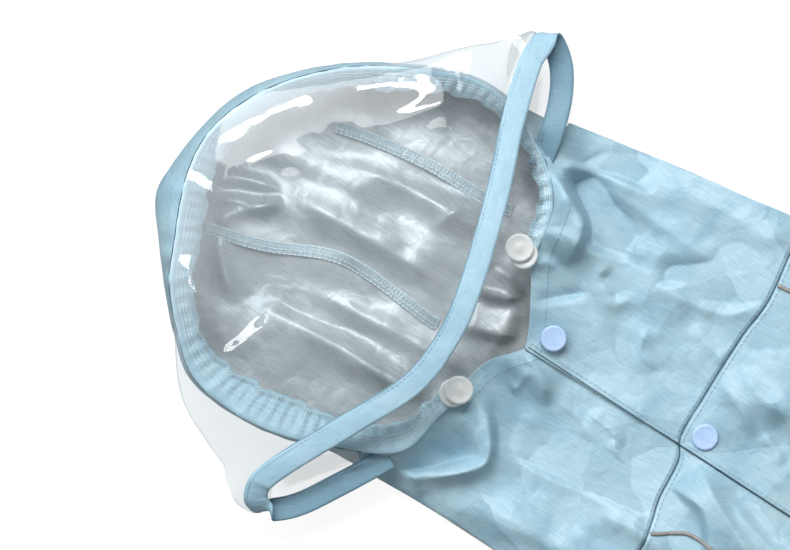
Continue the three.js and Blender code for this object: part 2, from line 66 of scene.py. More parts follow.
SIDE_NAMES = (("left", 1), ("right", -1))

# Sizes of the scene alone
SHOWN_CLOTH = 0.5
SHOWN_RIBBON = 1.1
PIPING_CORD = 2.0
STITCH_INSET = 1.5
OVERLOCK_BAND = 5.8

# Where the photograph shows the coat
PIXEL = 0.468
PHOTO_TURN = math.radians(33)
PHOTO_V = (527, 345)
PHOTO_SIZE = (790, 550)

HOOD_COLUMNS = ("angle", "out", "lip", "lip_z", "casing", "drop")
HOOD = (
    (0, 116, 85, 12, 78, 1),
    (17, 116, 77, 14, 70, 1),
    (31, 115, 75.5, 18, 67, 2),
    (47, 113, 87, 21, 79.5, 3),
    (60, 111, 89.5, 23, 84.5, 5),
    (69, 104, 90, 25, 86, 7),
    (78, 97, 92, 28, 86, 9),
    (90, 94.5, 92, 31, 84, 9),
    (102, 91, 88, 33, 78.5, 9),
    (115, 88, 85, 35, 74.5, 9),
    (131, 88, 84.5, 37, 76, 10),
    (146, 91, 86, 38, 79, 11),
    (162, 96, 89.5, 38, 80.5, 11),
    (178, 99, 92.5, 38, 83, 11),
    (190, 103, 92, 38, 81.5, 10),
    (198, 106, 91, 37, 79.5, 10),
    (210, 101, 91, 36, 80, 9),
    (222, 99, 94.5, 35, 84, 8),
    (236, 101, 97.5, 33, 88, 8),
    (248, 104.5, 101.5, 31, 87.5, 9),
    (260, 101.5, 99.5, 30, 83, 9),
    (275, 98, 96, 29, 79, 8),
    (290, 96, 93, 27, 79, 6),
    (300, 103, 93.5, 25, 81, 4),
    (312, 112, 94, 22, 81.5, 3),
    (323, 115, 84.5, 19, 76, 2),
    (331, 116, 80, 17, 71, 2),
    (340, 116, 75, 14, 67, 1),
    (350, 116, 75.5, 12, 68, 1),
    (360, 116, 85, 12, 78, 1),
)

SIDE_COLUMNS = ("x", "left", "right")
SIDES = (
    (-45, 97, -91),
    (-25, 101, -90.5),
    (0, 106, -89),
    (25, 110.5, -88.5),
    (50, 114.5, -89),
    (75, 119, -93),
    (100, 122, -104),
    (150, 126, -121),
    (210, 129, -128),
    (280, 124, -124),
    (335, 112, -112),
)

CROSS_COLUMNS = ("y", "x")
CROSS = (
    (-130, 99),
    (-51, 97),
    (-38, 94.5),
    (-27, 91.5),
    (-6, 89),
    (3, 84),
    (22, 83),
    (57, 82.5),
    (76, 84),
    (87, 83),
    (102, 80.5),
    (130, 78),
)

PIPING_COLUMNS = ("x", "left", "right")
PIPING = (
    (76, 86.5, -48),
    (96, 89, -43),
    (113, 90, -33),
    (135, 90, -37),
    (170, 90, -58),
    (220, 89, -78),
    (280, 87, -85),
)

VISOR_COLUMNS = ("at", "x", "y", "z", "level", "rim", "fold_x", "fold_y", "fold_z")
VISOR = (
    (0.0, -42, 78.5, 22.5, 1, 66, 0, 0, 0),
    (0.04, -44.7, 90.4, 22, 1, 68, 0, 0, 0.5),
    (0.09, -50, 105.5, 18.5, 1, 72, 0, 0, 1),
    (0.13, -57, 117, 18, 0.9, 77, -1, 2, 1),
    (0.16, -64.5, 123.5, 20.5, 0.3, 80, -2, 2, 1),
    (0.18, -70, 125.2, 24, 0, 82, -3, 3, 0),
    (0.2, -70.8, 119.5, 28, 0.6, 85, -4, 5, -1),
    (0.24, -70.5, 110.5, 30.5, 1, 90, -7, 10, -2),
    (0.34, -62, 81.5, 38, 1, 104, -8, 19, 0),
    (0.42, -50, 50, 46, 1, 124, -7, 10, 5),
    (0.5, -38, 10, 51, 1, 165, 0, 0, 8),
    (0.56, -33.5, -15, 51, 1, 196, 0, 0, 8),
    (0.62, -35, -42, 48, 1, 222, -6, -12, 5),
    (0.69, -48, -72, 41, 1, 240, -12, -24, 1),
    (0.76, -63, -103, 34, 1, 257, -9, -20, -2),
    (0.8, -69.3, -119, 29.5, 0.9, 266, -4, -14, -3),
    (0.82, -69.3, -124.5, 27, 0.5, 269, -3, -10, -2),
    (0.84, -67, -129, 24, 0, 274, -2, -7, 0),
    (0.86, -62.3, -130.6, 20, 0, 278, -1, -4, 1),
    (0.88, -57.5, -129, 17.5, 0.4, 281, 0, -2, 2),
    (0.92, -48, -119, 16, 1, 290, 0, 0, 1),
    (0.96, -38, -102, 18, 1, 296, 0, 0, 0.5),
    (1.0, -28, -83.8, 25, 1, 300, 0, 0, 0),
)

# The solids' soft folds: two ends, height and half width
FRONT_FOLDS = (
    (-14, 66, 22, 38, 6, 7),
    (-34, 84, 12, 92, 5, 6),
    (10, 62, 70, 86, 3.5, 6),
    (22, 30, 74, 34, 2.5, 6),
    (-6, -10, 18, -12, 4, 5),
    (-10, -44, 14, -52, 6, 6),
    (-14, -80, 10, -60, 5, 6),
    (24, -46, 78, -40, 3, 6),
    (34, -72, 84, -70, 3, 7),
    (94, 30, 150, 52, 3.5, 8),
    (104, 76, 190, 66, 3, 8),
    (108, -20, 176, -26, 3.5, 8),
    (190, 40, 262, 58, 3, 9),
    (186, -44, 258, -52, 3, 9),
)
HOOD_FOLDS = (
    (-150, 12, -96, 22, 7, 7),
    (-146, -30, -66, -12, 5, 8),
    (-118, -4, -50, 12, 4, 8),
    (-128, 44, -70, 52, 5, 7),
    (-110, -58, -60, -44, 5, 8),
    (-84, 30, -50, 30, 4, 7),
)

# Creases read off the photograph: the way each runs in pixels, its height, how wide it is to the left and
# right of that way, and how sharp its crest is, from 1, a knife edge, to 2, a soft roll
FRONT_CREASES = (
    (((559, 156), (590, 164), (622, 175), (655, 192)), -10.5, 10, 1.8, 1.5),
    (((549, 170), (566, 196), (582, 223), (575, 246), (562, 266)), 14, 2.5, 15, 1.6),
    (((566, 168), (586, 198), (597, 228), (590, 254)), -19, 13, 4, 1.6),
    (((592, 182), (640, 210), (688, 246), (724, 266)), 4.2, 9, 7, 1.5),
    (((640, 172), (700, 199), (758, 229), (786, 250)), 3.3, 8, 7, 1.5),
    (((653, 284), (690, 276), (730, 273), (768, 277)), -6.0, 9, 1.6, 1.5),
    (((655, 286), (690, 303), (731, 315), (768, 301)), 3.0, 4, 6, 1.4),
    (((531, 302), (560, 297), (594, 291)), -3.3, 3, 1.8, 1.5),
    (((600, 272), (612, 286), (622, 304)), -3.3, 4, 3, 1.6),
    (((622, 300), (624, 330), (634, 366)), -2.4, 7, 7, 2.0),
    (((650, 326), (641, 352), (664, 374)), 2.1, 4, 3, 1.2),
    (((690, 322), (712, 350), (728, 366)), 2.4, 5, 5, 1.4),
    (((536, 268), (545, 262), (556, 270)), 1.8, 2, 2, 1.3),
    (((516, 350), (534, 366), (544, 386), (547, 408)), 4.5, 3, 4, 1.2),
    (((474, 396), (485, 413), (490, 440), (486, 462), (466, 471), (440, 476), (414, 480)), 6.8, 4, 4, 1.3),
    (((488, 398), (496, 420), (497, 448), (492, 470)), -3.0, 3, 3, 1.6),
    (((396, 470), (438, 466), (482, 453)), -9.0, 9, 1.8, 1.5),
    (((414, 472), (416, 484), (422, 500)), 3.3, 3, 2, 1.2),
    (((514, 455), (553, 472), (607, 496), (654, 521)), -7.5, 10, 1.6, 1.4),
    (((588, 412), (606, 426), (628, 447)), 2.2, 3, 3, 1.1),
    (((612, 438), (618, 456), (634, 472)), 2.1, 3, 2, 1.1),
    (((588, 479), (626, 476), (668, 462)), -3.0, 3, 5, 1.5),
    (((556, 402), (580, 420), (592, 450)), 1.8, 4, 3, 1.1),
    (((430, 500), (512, 528), (596, 566)), 4.8, 10, 9, 1.7),
    (((596, 512), (640, 534), (684, 566)), 3.6, 6, 5, 1.5),
    (((530, 366), (520, 384), (510, 392)), 2.4, 3, 3, 1.3),
    (((738, 366), (760, 396), (792, 419)), 3.6, 5, 6, 1.4),
    (((717, 376), (740, 408), (757, 440)), 3.3, 5, 4, 1.3),
    (((763, 432), (775, 449), (786, 466)), 2.4, 2, 3, 1.1),
    (((744, 337), (772, 340), (808, 336)), -4.8, 6, 2, 1.5),
    (((788, 340), (826, 372), (870, 392)), 4.2, 8, 7, 1.6),
    (((666, 482), (690, 499), (704, 514), (710, 550), (716, 590)), 7.5, 11, 1.6, 1.5),
    (((700, 464), (712, 494), (748, 552), (776, 596)), 6.0, 5, 6, 1.4),
    (((728, 498), (760, 538), (796, 574)), 3.9, 4, 4, 1.3),
)

# Creases that the photograph doesn't reach, in millimetres on the coat
FAR_CREASES = (
    (((92, 62), (120, 44), (160, 50)), 3.0, 7, 8, 1.6),
    (((96, 100), (130, 106), (176, 98)), 2.4, 5, 8, 1.5),
    (((128, 22), (168, 16), (214, 26)), -2.4, 8, 3, 1.5),
    (((150, 76), (196, 58), (236, 72)), 3.2, 9, 6, 1.5),
    (((176, 112), (214, 96), (262, 104)), 2.6, 8, 6, 1.6),
    (((204, 34), (236, 44), (274, 34)), 2.8, 7, 7, 1.5),
    (((222, 12), (246, 20), (276, 14)), -2.0, 5, 3, 1.5),
    (((100, -62), (140, -70), (172, -94)), 3.0, 8, 6, 1.5),
    (((130, -24), (176, -40), (206, -32)), -2.8, 7, 3, 1.5),
    (((158, -52), (200, -66), (246, -58)), 3.2, 8, 7, 1.5),
    (((188, -96), (226, -102), (268, -92)), 2.6, 6, 8, 1.6),
    (((196, -14), (232, -26), (272, -18)), 2.8, 7, 6, 1.5),
    (((236, -70), (256, -78), (278, -72)), -2.2, 6, 3, 1.5),
)

# Creases on the hood's floor, seen through the opening, in pixels
FLOOR_CREASES = (
    (((206, 176), (246, 180), (286, 192)), 5.0, 3.5, 2.5, 1.4),
    (((205, 197), (236, 201), (262, 205), (284, 195)), 6.0, 2.5, 3.5, 1.2),
    (((212, 224), (238, 212), (292, 203)), 5.5, 3, 4, 1.3),
    (((219, 226), (222, 262), (236, 304)), 5.0, 4, 5, 1.4),
    (((272, 182), (345, 224), (402, 258), (462, 292)), 9.0, 17, 7, 1.6),
    (((262, 292), (328, 322), (400, 352)), -4.0, 5, 9, 1.8),
    (((248, 298), (318, 336), (398, 384), (430, 400)), 5.5, 8, 5, 1.4),
    (((300, 284), (362, 316), (432, 352), (470, 372)), 4.0, 6, 5, 1.5),
    (((330, 160), (392, 182), (470, 222), (512, 250)), 4.5, 6, 5, 1.5),
    (((430, 232), (462, 208), (494, 216)), 3.2, 3, 4, 1.2),
    (((464, 286), (492, 294), (526, 300)), 8.0, 13, 2.5, 1.5),
    (((452, 322), (490, 332), (526, 340)), 6.5, 13, 3, 1.5),
    (((486, 262), (506, 274), (528, 284)), -2.5, 3, 5, 1.7),
    (((380, 236), (430, 262), (490, 306)), -2.5, 5, 6, 1.7),
    (((440, 120), (470, 138), (498, 170)), -3.0, 4, 5, 1.5),
    (((330, 360), (372, 372), (410, 396)), 2.2, 5, 4, 1.4),
)


def from_photo(across, down):
    """Where a pixel of the photograph lies on the coat."""
    dx, dy = across - PHOTO_V[0], down - PHOTO_V[1]
    cosine, sine = math.cos(PHOTO_TURN), math.sin(PHOTO_TURN)
    return (cosine * dx + sine * dy) * PIXEL, (sine * dx - cosine * dy) * PIXEL


def metres(points):
    return (np.asarray(points, float) - BOX_CENTRE) / 1000


def between(rows, columns, key, at, name):
    """A table's column at any places between its rows, on the smooth curve that the solids follow."""
    keys = np.array([row[columns.index(key)] for row in rows], float)
    values = np.array([row[columns.index(name)] for row in rows], float)
    at = np.asarray(at, float)
    last = len(keys) - 1
    i = np.clip(np.searchsorted(keys, at) - 1, 0, last - 1)
    before, after = np.maximum(i - 1, 0), np.minimum(i + 2, last)
    span = keys[i + 1] - keys[i]
    t = np.clip((at - keys[i]) / span, 0, 1)
    slope_a = (values[i + 1] - values[before]) / (keys[i + 1] - keys[before]) * span
    slope_b = (values[after] - values[i]) / (keys[after] - keys[i]) * span
    step = values[i + 1] - values[i]
    square = 3 * step - 2 * slope_a - slope_b
    cube = slope_a + slope_b - 2 * step
    return values[i] + slope_a * t + square * t**2 + cube * t**3


def hood(angle, name):
    return between(HOOD, HOOD_COLUMNS, "angle", np.mod(angle, 360), name)


def side_edge(x, name):
    return between(SIDES, SIDE_COLUMNS, "x", x, name)


def cross_seam(y):
    return between(CROSS, CROSS_COLUMNS, "y", y, "x")


def piping_line(x, name):
    return between(PIPING, PIPING_COLUMNS, "x", x, name)


def mix(a, b, share):
    return a + (b - a) * share


def smooth_step(low, high, value):
    t = np.clip((value - low) / (high - low), 0, 1)
    return t * t * (3 - 2 * t)


def stack(x, y, z):
    return np.stack(np.broadcast_arrays(x, y, z), axis=-1).astype(float)


def unit(ways):
    return ways / np.linalg.norm(ways, axis=-1, keepdims=True)


def polar(angle, radius):
    turn = np.radians(angle)
    return HOOD_CENTRE[0] + radius * np.cos(turn), HOOD_CENTRE[1] + radius * np.sin(turn)


def fold_height(folds, x, y):
    height = np.zeros(np.broadcast(x, y).shape)
    for x1, y1, x2, y2, tall, width in folds:
        run_x, run_y = x2 - x1, y2 - y1
        length = math.hypot(run_x, run_y)
        along = ((x - x1) * run_x + (y - y1) * run_y) / length**2
        off = ((x - x1) * run_y - (y - y1) * run_x) / length
        fade = smooth_step(-0.25, 0.2, along) * (1 - smooth_step(0.8, 1.25, along))
        height += tall * fade * np.exp(-((off / width) ** 2))
    return height


def smooth_path(points, steps=24):
    """Points on a smooth curve through a few given ones."""
    points = np.array(points, float)
    ends = np.vstack([2 * points[0] - points[1], points, 2 * points[-1] - points[-2]])
    places = np.linspace(0, len(points) - 1, steps)
    i = np.minimum(places.astype(int), len(points) - 2)
    t = (places - i)[:, None]
    a, b, c, d = ends[i], ends[i + 1], ends[i + 2], ends[i + 3]
    return 0.5 * (2 * b + (c - a) * t + (2 * a - 5 * b + 4 * c - d) * t**2 + (3 * b - a - 3 * c + d) * t**3)


def crease_height(creases, x, y, photo=True):
    """The height that a table of creases adds at some points of the coat."""
    height = np.zeros(np.broadcast(x, y).shape)
    for way, tall, left, right, sharp in creases:
        path = smooth_path([from_photo(*p) if photo else p for p in way])
        nearest = np.full(height.shape, np.inf)
        along = np.zeros(height.shape)
        side = np.zeros(height.shape)
        for k, (a, b) in enumerate(zip(path[:-1], path[1:])):
            run = b - a
            t = np.clip(((x - a[0]) * run[0] + (y - a[1]) * run[1]) / (run @ run), 0, 1)
            away = np.hypot(x - a[0] - t * run[0], y - a[1] - t * run[1])
            closer = away < nearest
            nearest = np.where(closer, away, nearest)
            along = np.where(closer, (k + t) / (len(path) - 1), along)
            side = np.where(closer, run[0] * (y - a[1]) - run[1] * (x - a[0]), side)
        width = np.where(side > 0, left, right)
        fade = smooth_step(-0.02, 0.28, along) * (1 - smooth_step(0.7, 1.02, along))
        height += tall * fade * np.exp(-((nearest / width) ** sharp))
    return height


def ripple(x, y, wave, seed, waves=9):
    """A smooth uneven surface of about unit height, the same each run."""
    chance = np.random.default_rng(seed)
    total = 0.0
    for _ in range(waves):
        turn, phase = chance.uniform(0, 2 * math.pi, 2)
        pace = 2 * math.pi / (wave * chance.uniform(0.6, 1.6))
        total = total + np.sin((x * math.cos(turn) + y * math.sin(turn)) * pace + phase)
    return total / math.sqrt(waves)


def crumple(x, y, wave, seed, folds=7):
    """Flat patches between crisp ridges, as thin coated cloth keeps them, of about unit height."""
    chance = np.random.default_rng(seed)
    bent_x = x + 0.16 * wave * ripple(x, y, 1.1 * wave, seed + 1)
    bent_y = y + 0.16 * wave * ripple(x, y, 1.1 * wave, seed + 2)
    total = 0.0
    for k in range(folds):
        turn = math.pi * (k + chance.uniform(0.1, 0.9)) / folds
        pace = 2 * math.pi / (wave * chance.uniform(0.7, 1.5))
        phase = chance.uniform(0, 2 * math.pi)
        swing = np.sin((bent_x * math.cos(turn) + bent_y * math.sin(turn)) * pace + phase)
        total = total + np.arcsin(0.985 * swing) * 2 / math.pi
    return total / math.sqrt(folds)


FLOOR_SHARE = 0.45
FLOOR_INSET = 7
LIP_GAP = 1.2


def floor_rise(x, y):
    """How far the creased silver side stands up from the flat back, in the hood and inside its opening."""
    away = np.hypot(x - HOOD_CENTRE[0], y - HOOD_CENTRE[1])
    angle = np.degrees(np.arctan2(y - HOOD_CENTRE[1], x - HOOD_CENTRE[0]))
    calm = 1 - smooth_step(0.82, 1, away / (hood(angle, "out") - FLOOR_INSET))
    near_neck = 1 - smooth_step(-62, NECK_SEAM_X, x)
    soft = 0.8 * ripple(x, y, 48, 5) + 0.65 * crumple(x, y, 44, 53) + 0.18 * crumple(x, y, 15, 54)
    creased = np.maximum(crease_height(FLOOR_CREASES, x, y), -2)
    rise = (0.55 * fold_height(HOOD_FOLDS, x, y) * near_neck + creased + 0.6 + soft) * calm
    return np.maximum(rise * (1 - smooth_step(-14, -1, x)), -0.25)


def hood_point(u, v):
    """The hood: a soft bowl from the middle of its floor out to its outline and up to just under its lip."""
    angle = 360 * (1 - u)
    floor_edge = hood(angle, "out") - FLOOR_INSET
    x, y = polar(angle, floor_edge * np.minimum(v / FLOOR_SHARE, 1))
    floor = stack(x, y, BACK_MID + floor_rise(x, y))
    rise = np.clip((v - FLOOR_SHARE) / (1 - FLOOR_SHARE), 0, 1)
    top_radius, top_z = hood(angle, "lip") - 0.2, hood(angle, "lip_z") - LIP_GAP
    a, b, c, d = (1 - rise) ** 3, 3 * (1 - rise) ** 2 * rise, 3 * (1 - rise) * rise**2, rise**3
    out = hood(angle, "out")
    wall_radius = a * floor_edge + b * (out + 1.5) + c * (out + 1) + d * top_radius
    wall_z = a * BACK_MID + b * BACK_MID + c * top_z * 0.5 + d * top_z
    turn = np.radians(angle)
    pucker = np.sin(turn * 34 + 2 * np.sin(turn * 5)) + 0.6 * np.sin(turn * 57 + 1.3)
    gathers = 0.45 * pucker * smooth_step(0.45, 1, rise)
    waves = 0.5 * np.sin(turn * 9) * rise * (1 - rise)
    wall_radius = wall_radius + gathers + waves
    wall = stack(*polar(angle, wall_radius), wall_z)
    return np.where((v <= FLOOR_SHARE)[..., None], floor, wall)


def casing_point(u, v, lift=0.0):
    """The elastic casing: a gathered band from the lip into the hood."""
    angle = mix(CASING_END, CASING_START, u)
    lip, lip_z = hood(angle, "lip"), hood(angle, "lip_z")
    inner = hood(angle, "casing")
    turn = np.radians(angle)
    uneven = 0.9 * np.sin(turn * 23 + 1.5 * np.sin(turn * 7))
    uneven = uneven + 0.7 * np.sin(turn * 41 + 0.8) + 0.5 * np.sin(turn * 67)
    curl = np.sin(np.clip(v, 0, 0.16) / 0.16 * math.pi / 2)
    radius = mix(lip + 1.0, inner, v) + 0.7 * uneven * v**1.5
    z = lip_z - hood(angle, "drop") * v**1.4 - 1.1 * (1 - curl)
    z = z + 0.2 * uneven + 0.75 * uneven * v**1.5 + lift
    tuck = 0.5 * np.sin(turn * 96 + 3 * np.sin(turn * 4)) * np.exp(-(((v - 0.55) / 0.3) ** 2))
    return stack(*polar(angle, radius), z + tuck)


TURN_SIDE = (0.85, 0.52, 0.0)
RIBBON_TURNS = ((0.183, -0.58, 0.81), (0.845, -0.55, -0.83))


def ribbon_frame(at):
    """Along the ribbon: its table's values, its middle line, the way to its free edge, and the way ahead."""
    row = {name: between(VISOR, VISOR_COLUMNS, "at", at, name) for name in VISOR_COLUMNS}
    before, after = np.maximum(at - 0.002, 0), np.minimum(at + 0.002, 1)
    ahead = [
        between(VISOR, VISOR_COLUMNS, "at", after, name) - between(VISOR, VISOR_COLUMNS, "at", before, name)
        for name in ("x", "y", "z")
    ]
    tangent = unit(stack(*ahead))
    middle = stack(row["x"], row["y"], row["z"])
    sideways = unit(stack(np.abs(tangent[..., 1]), -np.sign(tangent[..., 1]) * tangent[..., 0], 0))
    level = np.clip(row["level"], 0, 1)[..., None]
    free = mix(np.array(TURN_SIDE), sideways, level)
    free = unit(free - tangent * (free * tangent).sum(-1, keepdims=True))
    return row, middle, free, tangent


def ribbon_point(u, v):
    _, middle, free, tangent = ribbon_frame(u)
    face = np.cross(tangent, free)
    crown = 0.35 * (1 - (2 * v - 1) ** 2) + 0.25 * np.sin(u * 47) * np.sin(u * 19 + 1)
    across = free * ((v - 0.5) * RIBBON_WIDTH)[..., None]
    place = middle + across + face * crown[..., None] * np.sign(face[..., 2:3])
    swell = 1.8 * (1 - (2 * v - 1) ** 2)
    for fold, out_x, out_y in RIBBON_TURNS:
        share = swell * np.exp(-(((u - fold) / 0.014) ** 2))
        place[..., 0] += out_x * share
        place[..., 1] += out_y * share
    first, last = 1 - smooth_step(0, 0.05, u), smooth_step(0.96, 1, u)
    place += tangent * ((last - first) * 6)[..., None]
    place[..., 2] -= 3.5 * first + 9 * last
    return place


FILM_CREASES = (
    (((183, 394), (217, 369), (258, 333), (287, 309)), 1.9, 4.6, 3.4, 2.0),
    (((222, 382), (244, 356), (266, 330), (272, 318)), 0.7, 2.6, 2.4, 2.0),
    (((220, 383), (250, 372), (268, 350), (274, 322)), 0.5, 2.2, 2, 2.0),
    (((350, 134), (402, 122), (434, 109), (464, 97), (482, 106), (487, 122)), 0.8, 5, 3, 2.0),
    (((236, 176), (250, 168), (268, 160), (290, 154)), 0.5, 2.6, 2, 1.8),
)


def film_point(u, v):
    """The clear visor, from the lip out over its fold and back to the ribbon's stitched edge."""
    row, middle, free, _ = ribbon_frame(mix(1 / 72, 71 / 72, u))
    lip, lip_z = hood(row["rim"], "lip"), hood(row["rim"], "lip_z")
    start = stack(*polar(row["rim"], lip + 0.5), lip_z + CLOTH / 2 + FILM / 2 + SEAM + 0.6)
    end = middle - free * (RIBBON_WIDTH / 2 - STITCH_INSET)
    fold = stack(row["fold_x"], row["fold_y"], row["fold_z"]) * 4 / 3
    reach = np.minimum(np.linalg.norm(start - end, axis=-1) / 3, 8)[..., None]
    low = mix(start, end, 0.2) + fold
    high = end - free * reach + fold
    t = v[..., None]
    place = (1 - t) ** 3 * start + 3 * (1 - t) ** 2 * t * low + 3 * (1 - t) * t**2 * high + t**3 * end
    loose = (v * (1 - v) * 4) ** 0.7
    x, y = place[..., 0], place[..., 1]
    creased = crease_height(FILM_CREASES, x, y)
    upper = smooth_step(0.14, 0.22, v)
    wavy = 0.45 * ripple(x, y, 46, 21) + 0.06 * ripple(x, y, 15, 22)
    place[..., 2] += loose * wavy + creased * upper
    return place


def rim_rise(x, y):
    """How far the cloth is lifted by the hood's lip, and how far past the lip a point lies."""
    dx, dy = x - HOOD_CENTRE[0], y - HOOD_CENTRE[1]
    angle = np.mod(np.degrees(np.arctan2(dy, dx)), 360)
    past = np.maximum(np.hypot(dx, dy) - hood(angle, "lip"), 0)
    return (hood(angle, "lip_z") - 2.9 - FRONT_MID) * np.exp(-((past / 30) ** 1.3)), past


def front_height(x, y):
    """The body's upper layer: high along the rim, low by the sides and flat past the chest."""
    to_edge = np.where(y > 0, side_edge(x, "left") - y, y - side_edge(x, "right"))
    roundness = np.sqrt(np.clip(to_edge / 16, 0, 1))
    rise, past = rim_rise(x, y)
    near_rim = 1.7 * np.exp(-past / 2.5) * smooth_step(0, 20, rise)
    soft = 0.25 * ripple(x, y, 30, 11) + 0.07 * ripple(x, y, 9, 12)
    folds = 0.6 * fold_height(FRONT_FOLDS, x, y)
    creases = crease_height(FRONT_CREASES, x, y) + crease_height(FAR_CREASES, x, y, photo=False)
    patches = 1.15 * crumple(x, y, 58, 51) + 0.45 * crumple(x, y, 24, 52)
    added = folds + (creases + patches) * (1 - 0.6 * np.exp(-past / 3)) + soft
    low = 0.1 - 0.4 * np.exp(-to_edge / 6)
    return FRONT_MID + np.maximum((rise + near_rim + added) * roundness, low)


RIM_SHARE = 0.82
LAP_ANGLE = 12
NECK_ANGLE = {1: 60.0, -1: 298.5}


def edge_name(side):
    return "left" if side > 0 else "right"


def yoke_rim(side, v):
    closed = 0.0 if side > 0 else 360.0 + LAP_ANGLE
    angle = np.mod(mix(closed, NECK_ANGLE[side], np.minimum(v / RIM_SHARE, 1)), 360)
    x, y = polar(angle, hood(angle, "lip"))
    along = np.clip((v - RIM_SHARE) / (1 - RIM_SHARE), 0, 1)
    _, lip_y = polar(NECK_ANGLE[side], hood(NECK_ANGLE[side], "lip"))
    on_neck = v > RIM_SHARE
    edge_y = side_edge(NECK_SEAM_X, edge_name(side))
    return np.where(on_neck, NECK_SEAM_X + SEAM / 2, x), np.where(on_neck, mix(lip_y, edge_y, along), y)


def lap_lift(side, y):
    return LAP_HEIGHT * (1 - smooth_step(LAP_WIDTH + 1, LAP_WIDTH + 14, y)) if side > 0 else 0.0 * y


def yoke_point(side, u, v):
    rim_x, rim_y = yoke_rim(side, v)
    edge = side_edge(80, edge_name(side))
    seam_y = mix(0.0, edge, v) if side > 0 else mix(float(LAP_WIDTH), edge, v)
    seam_x = cross_seam(seam_y) - SEAM / 2
    x, y = mix(rim_x, seam_x, u), mix(rim_y, seam_y, u)
    y = mix(y, side_edge(x, edge_name(side)), v**12)
    tucked = 0.9 * smooth_step(0.985, 1, u)
    return stack(x, y, front_height(x, y) + lap_lift(side, y) - tucked)


def lower_point(side, u, across_at):
    x = mix(90.0, float(FRONT_HEM_X), u)
    y = across_at(x)
    for _ in range(4):
        x = mix(cross_seam(y) + SEAM / 2, float(FRONT_HEM_X), u)
        y = across_at(x)
    tucked = 0.9 * (1 - smooth_step(0, 0.008, u))
    return stack(x, y, front_height(x, y) + lap_lift(side, y) - tucked)


def front_point(side, u, v):
    inner = 0.0 if side > 0 else float(LAP_WIDTH)
    return lower_point(side, u, lambda x: mix(inner, piping_line(x, edge_name(side)) - side * 0.1, v))


def side_point(side, u, v):
    name = edge_name(side)
    return lower_point(side, u, lambda x: mix(piping_line(x, name) + side * 0.1, side_edge(x, name), v))


BACK_CREASES = (
    (((284, 60), (306, 48), (334, 56)), 1.6, 5, 4, 1.4),
    (((282, 10), (304, 2), (332, 8)), 1.4, 4, 5, 1.4),
    (((284, -40), (308, -52), (334, -46)), 1.7, 5, 4, 1.4),
    (((290, -84), (312, -90), (332, -82)), 1.2, 4, 4, 1.4),
)


def back_point(u, v):
    x = NECK_SEAM_X - 0.1 + (BACK_HEM_X - NECK_SEAM_X) * u**1.5
    y = mix(side_edge(x, "right"), side_edge(x, "left"), v)
    bare = smooth_step(FRONT_HEM_X - 12, FRONT_HEM_X + 4, x)
    soft = 0.5 + 0.5 * ripple(x, y, 22, 31) + crease_height(BACK_CREASES, x, y, photo=False)
    return stack(x, y, BACK_MID + np.clip(soft, -0.1, 3) * bare + np.minimum(floor_rise(x, y), 9))


SLEEVE = {"x": 138, "root": 72, "cuff": 58, "length": 66, "forward": 16, "inside": 1.6}
SLEEVE_CREASES = (
    (((112, 130), (124, 146), (120, 170)), 2.0, 5, 4, 1.4),
    (((138, 132), (132, 152), (138, 176)), 2.4, 4, 5, 1.4),
    (((158, 134), (150, 156), (146, 182)), 1.8, 5, 4, 1.4),
)


def sleeve_point(side, u, v):
    """A flat tube beside the body, from the side edge to its cuff."""
    turn = (1 - u if side > 0 else u) * 2 * math.pi
    width = mix(float(SLEEVE["root"]), float(SLEEVE["cuff"]), v)
    x = SLEEVE["x"] - SLEEVE["forward"] * v + np.cos(turn) * width / 2
    root = side_edge(x, edge_name(side)) + side * 2 * SEAM
    y = root + side * SLEEVE["length"] * v
    flat = np.minimum(np.abs(np.sin(turn)) * 6, 1)
    lift = SLEEVE["inside"] / 2 + CLOTH / 2
    z = CLOTH + SLEEVE["inside"] / 2 + np.sign(np.sin(turn)) * lift * flat
    upper = np.clip(np.sin(turn) * 2, 0, 1)
    soft = 0.4 + 0.4 * ripple(x, y, 16, 41) + crease_height(SLEEVE_CREASES, x, np.abs(y), photo=False)
    return stack(x, y, z + np.maximum(soft, 0) * upper)


# Finishes


def node(tree, kind, **settings):
    made = tree.nodes.new(kind)
    for name, value in settings.items():
        setattr(made, name, value)
    return made


def new_finish(name):
    material = bpy.data.materials.new(name)
    material.use_nodes = True
    tree = material.node_tree
    return material, tree, tree.nodes["Principled BSDF"]


def noise(tree, vector, scale, detail=2.0, distortion=0.0):
    made = node(tree, "ShaderNodeTexNoise")
    made.inputs["Scale"].default_value = scale
    made.inputs["Detail"].default_value = detail
    made.inputs["Distortion"].default_value = distortion
    tree.links.new(vector, made.inputs["Vector"])
    return made.outputs["Fac"]


def stretched(tree, vector, scale, turn=0.0):
    made = node(tree, "ShaderNodeMapping")
    made.inputs["Scale"].default_value = scale
    made.inputs["Rotation"].default_value = (0, 0, turn)
    tree.links.new(vector, made.inputs["Vector"])
    return made.outputs["Vector"]


def bump(tree, height, distance, normal=None):
    made = node(tree, "ShaderNodeBump")
    made.inputs["Strength"].default_value = 1.0
    made.inputs["Distance"].default_value = distance
    tree.links.new(height, made.inputs["Height"])
    if normal is not None:
        tree.links.new(normal, made.inputs["Normal"])
    return made.outputs["Normal"]


def colour_ramp(tree, factor, *stops):
    made = node(tree, "ShaderNodeValToRGB")
    ramp = made.color_ramp
    ramp.elements[0].position, ramp.elements[0].color = stops[0][0], (*stops[0][1], 1)
    ramp.elements[1].position, ramp.elements[1].color = stops[-1][0], (*stops[-1][1], 1)
    for place, colour in stops[1:-1]:
        ramp.elements.new(place).color = (*colour, 1)
    tree.links.new(factor, made.inputs["Fac"])
    return made.outputs["Color"]


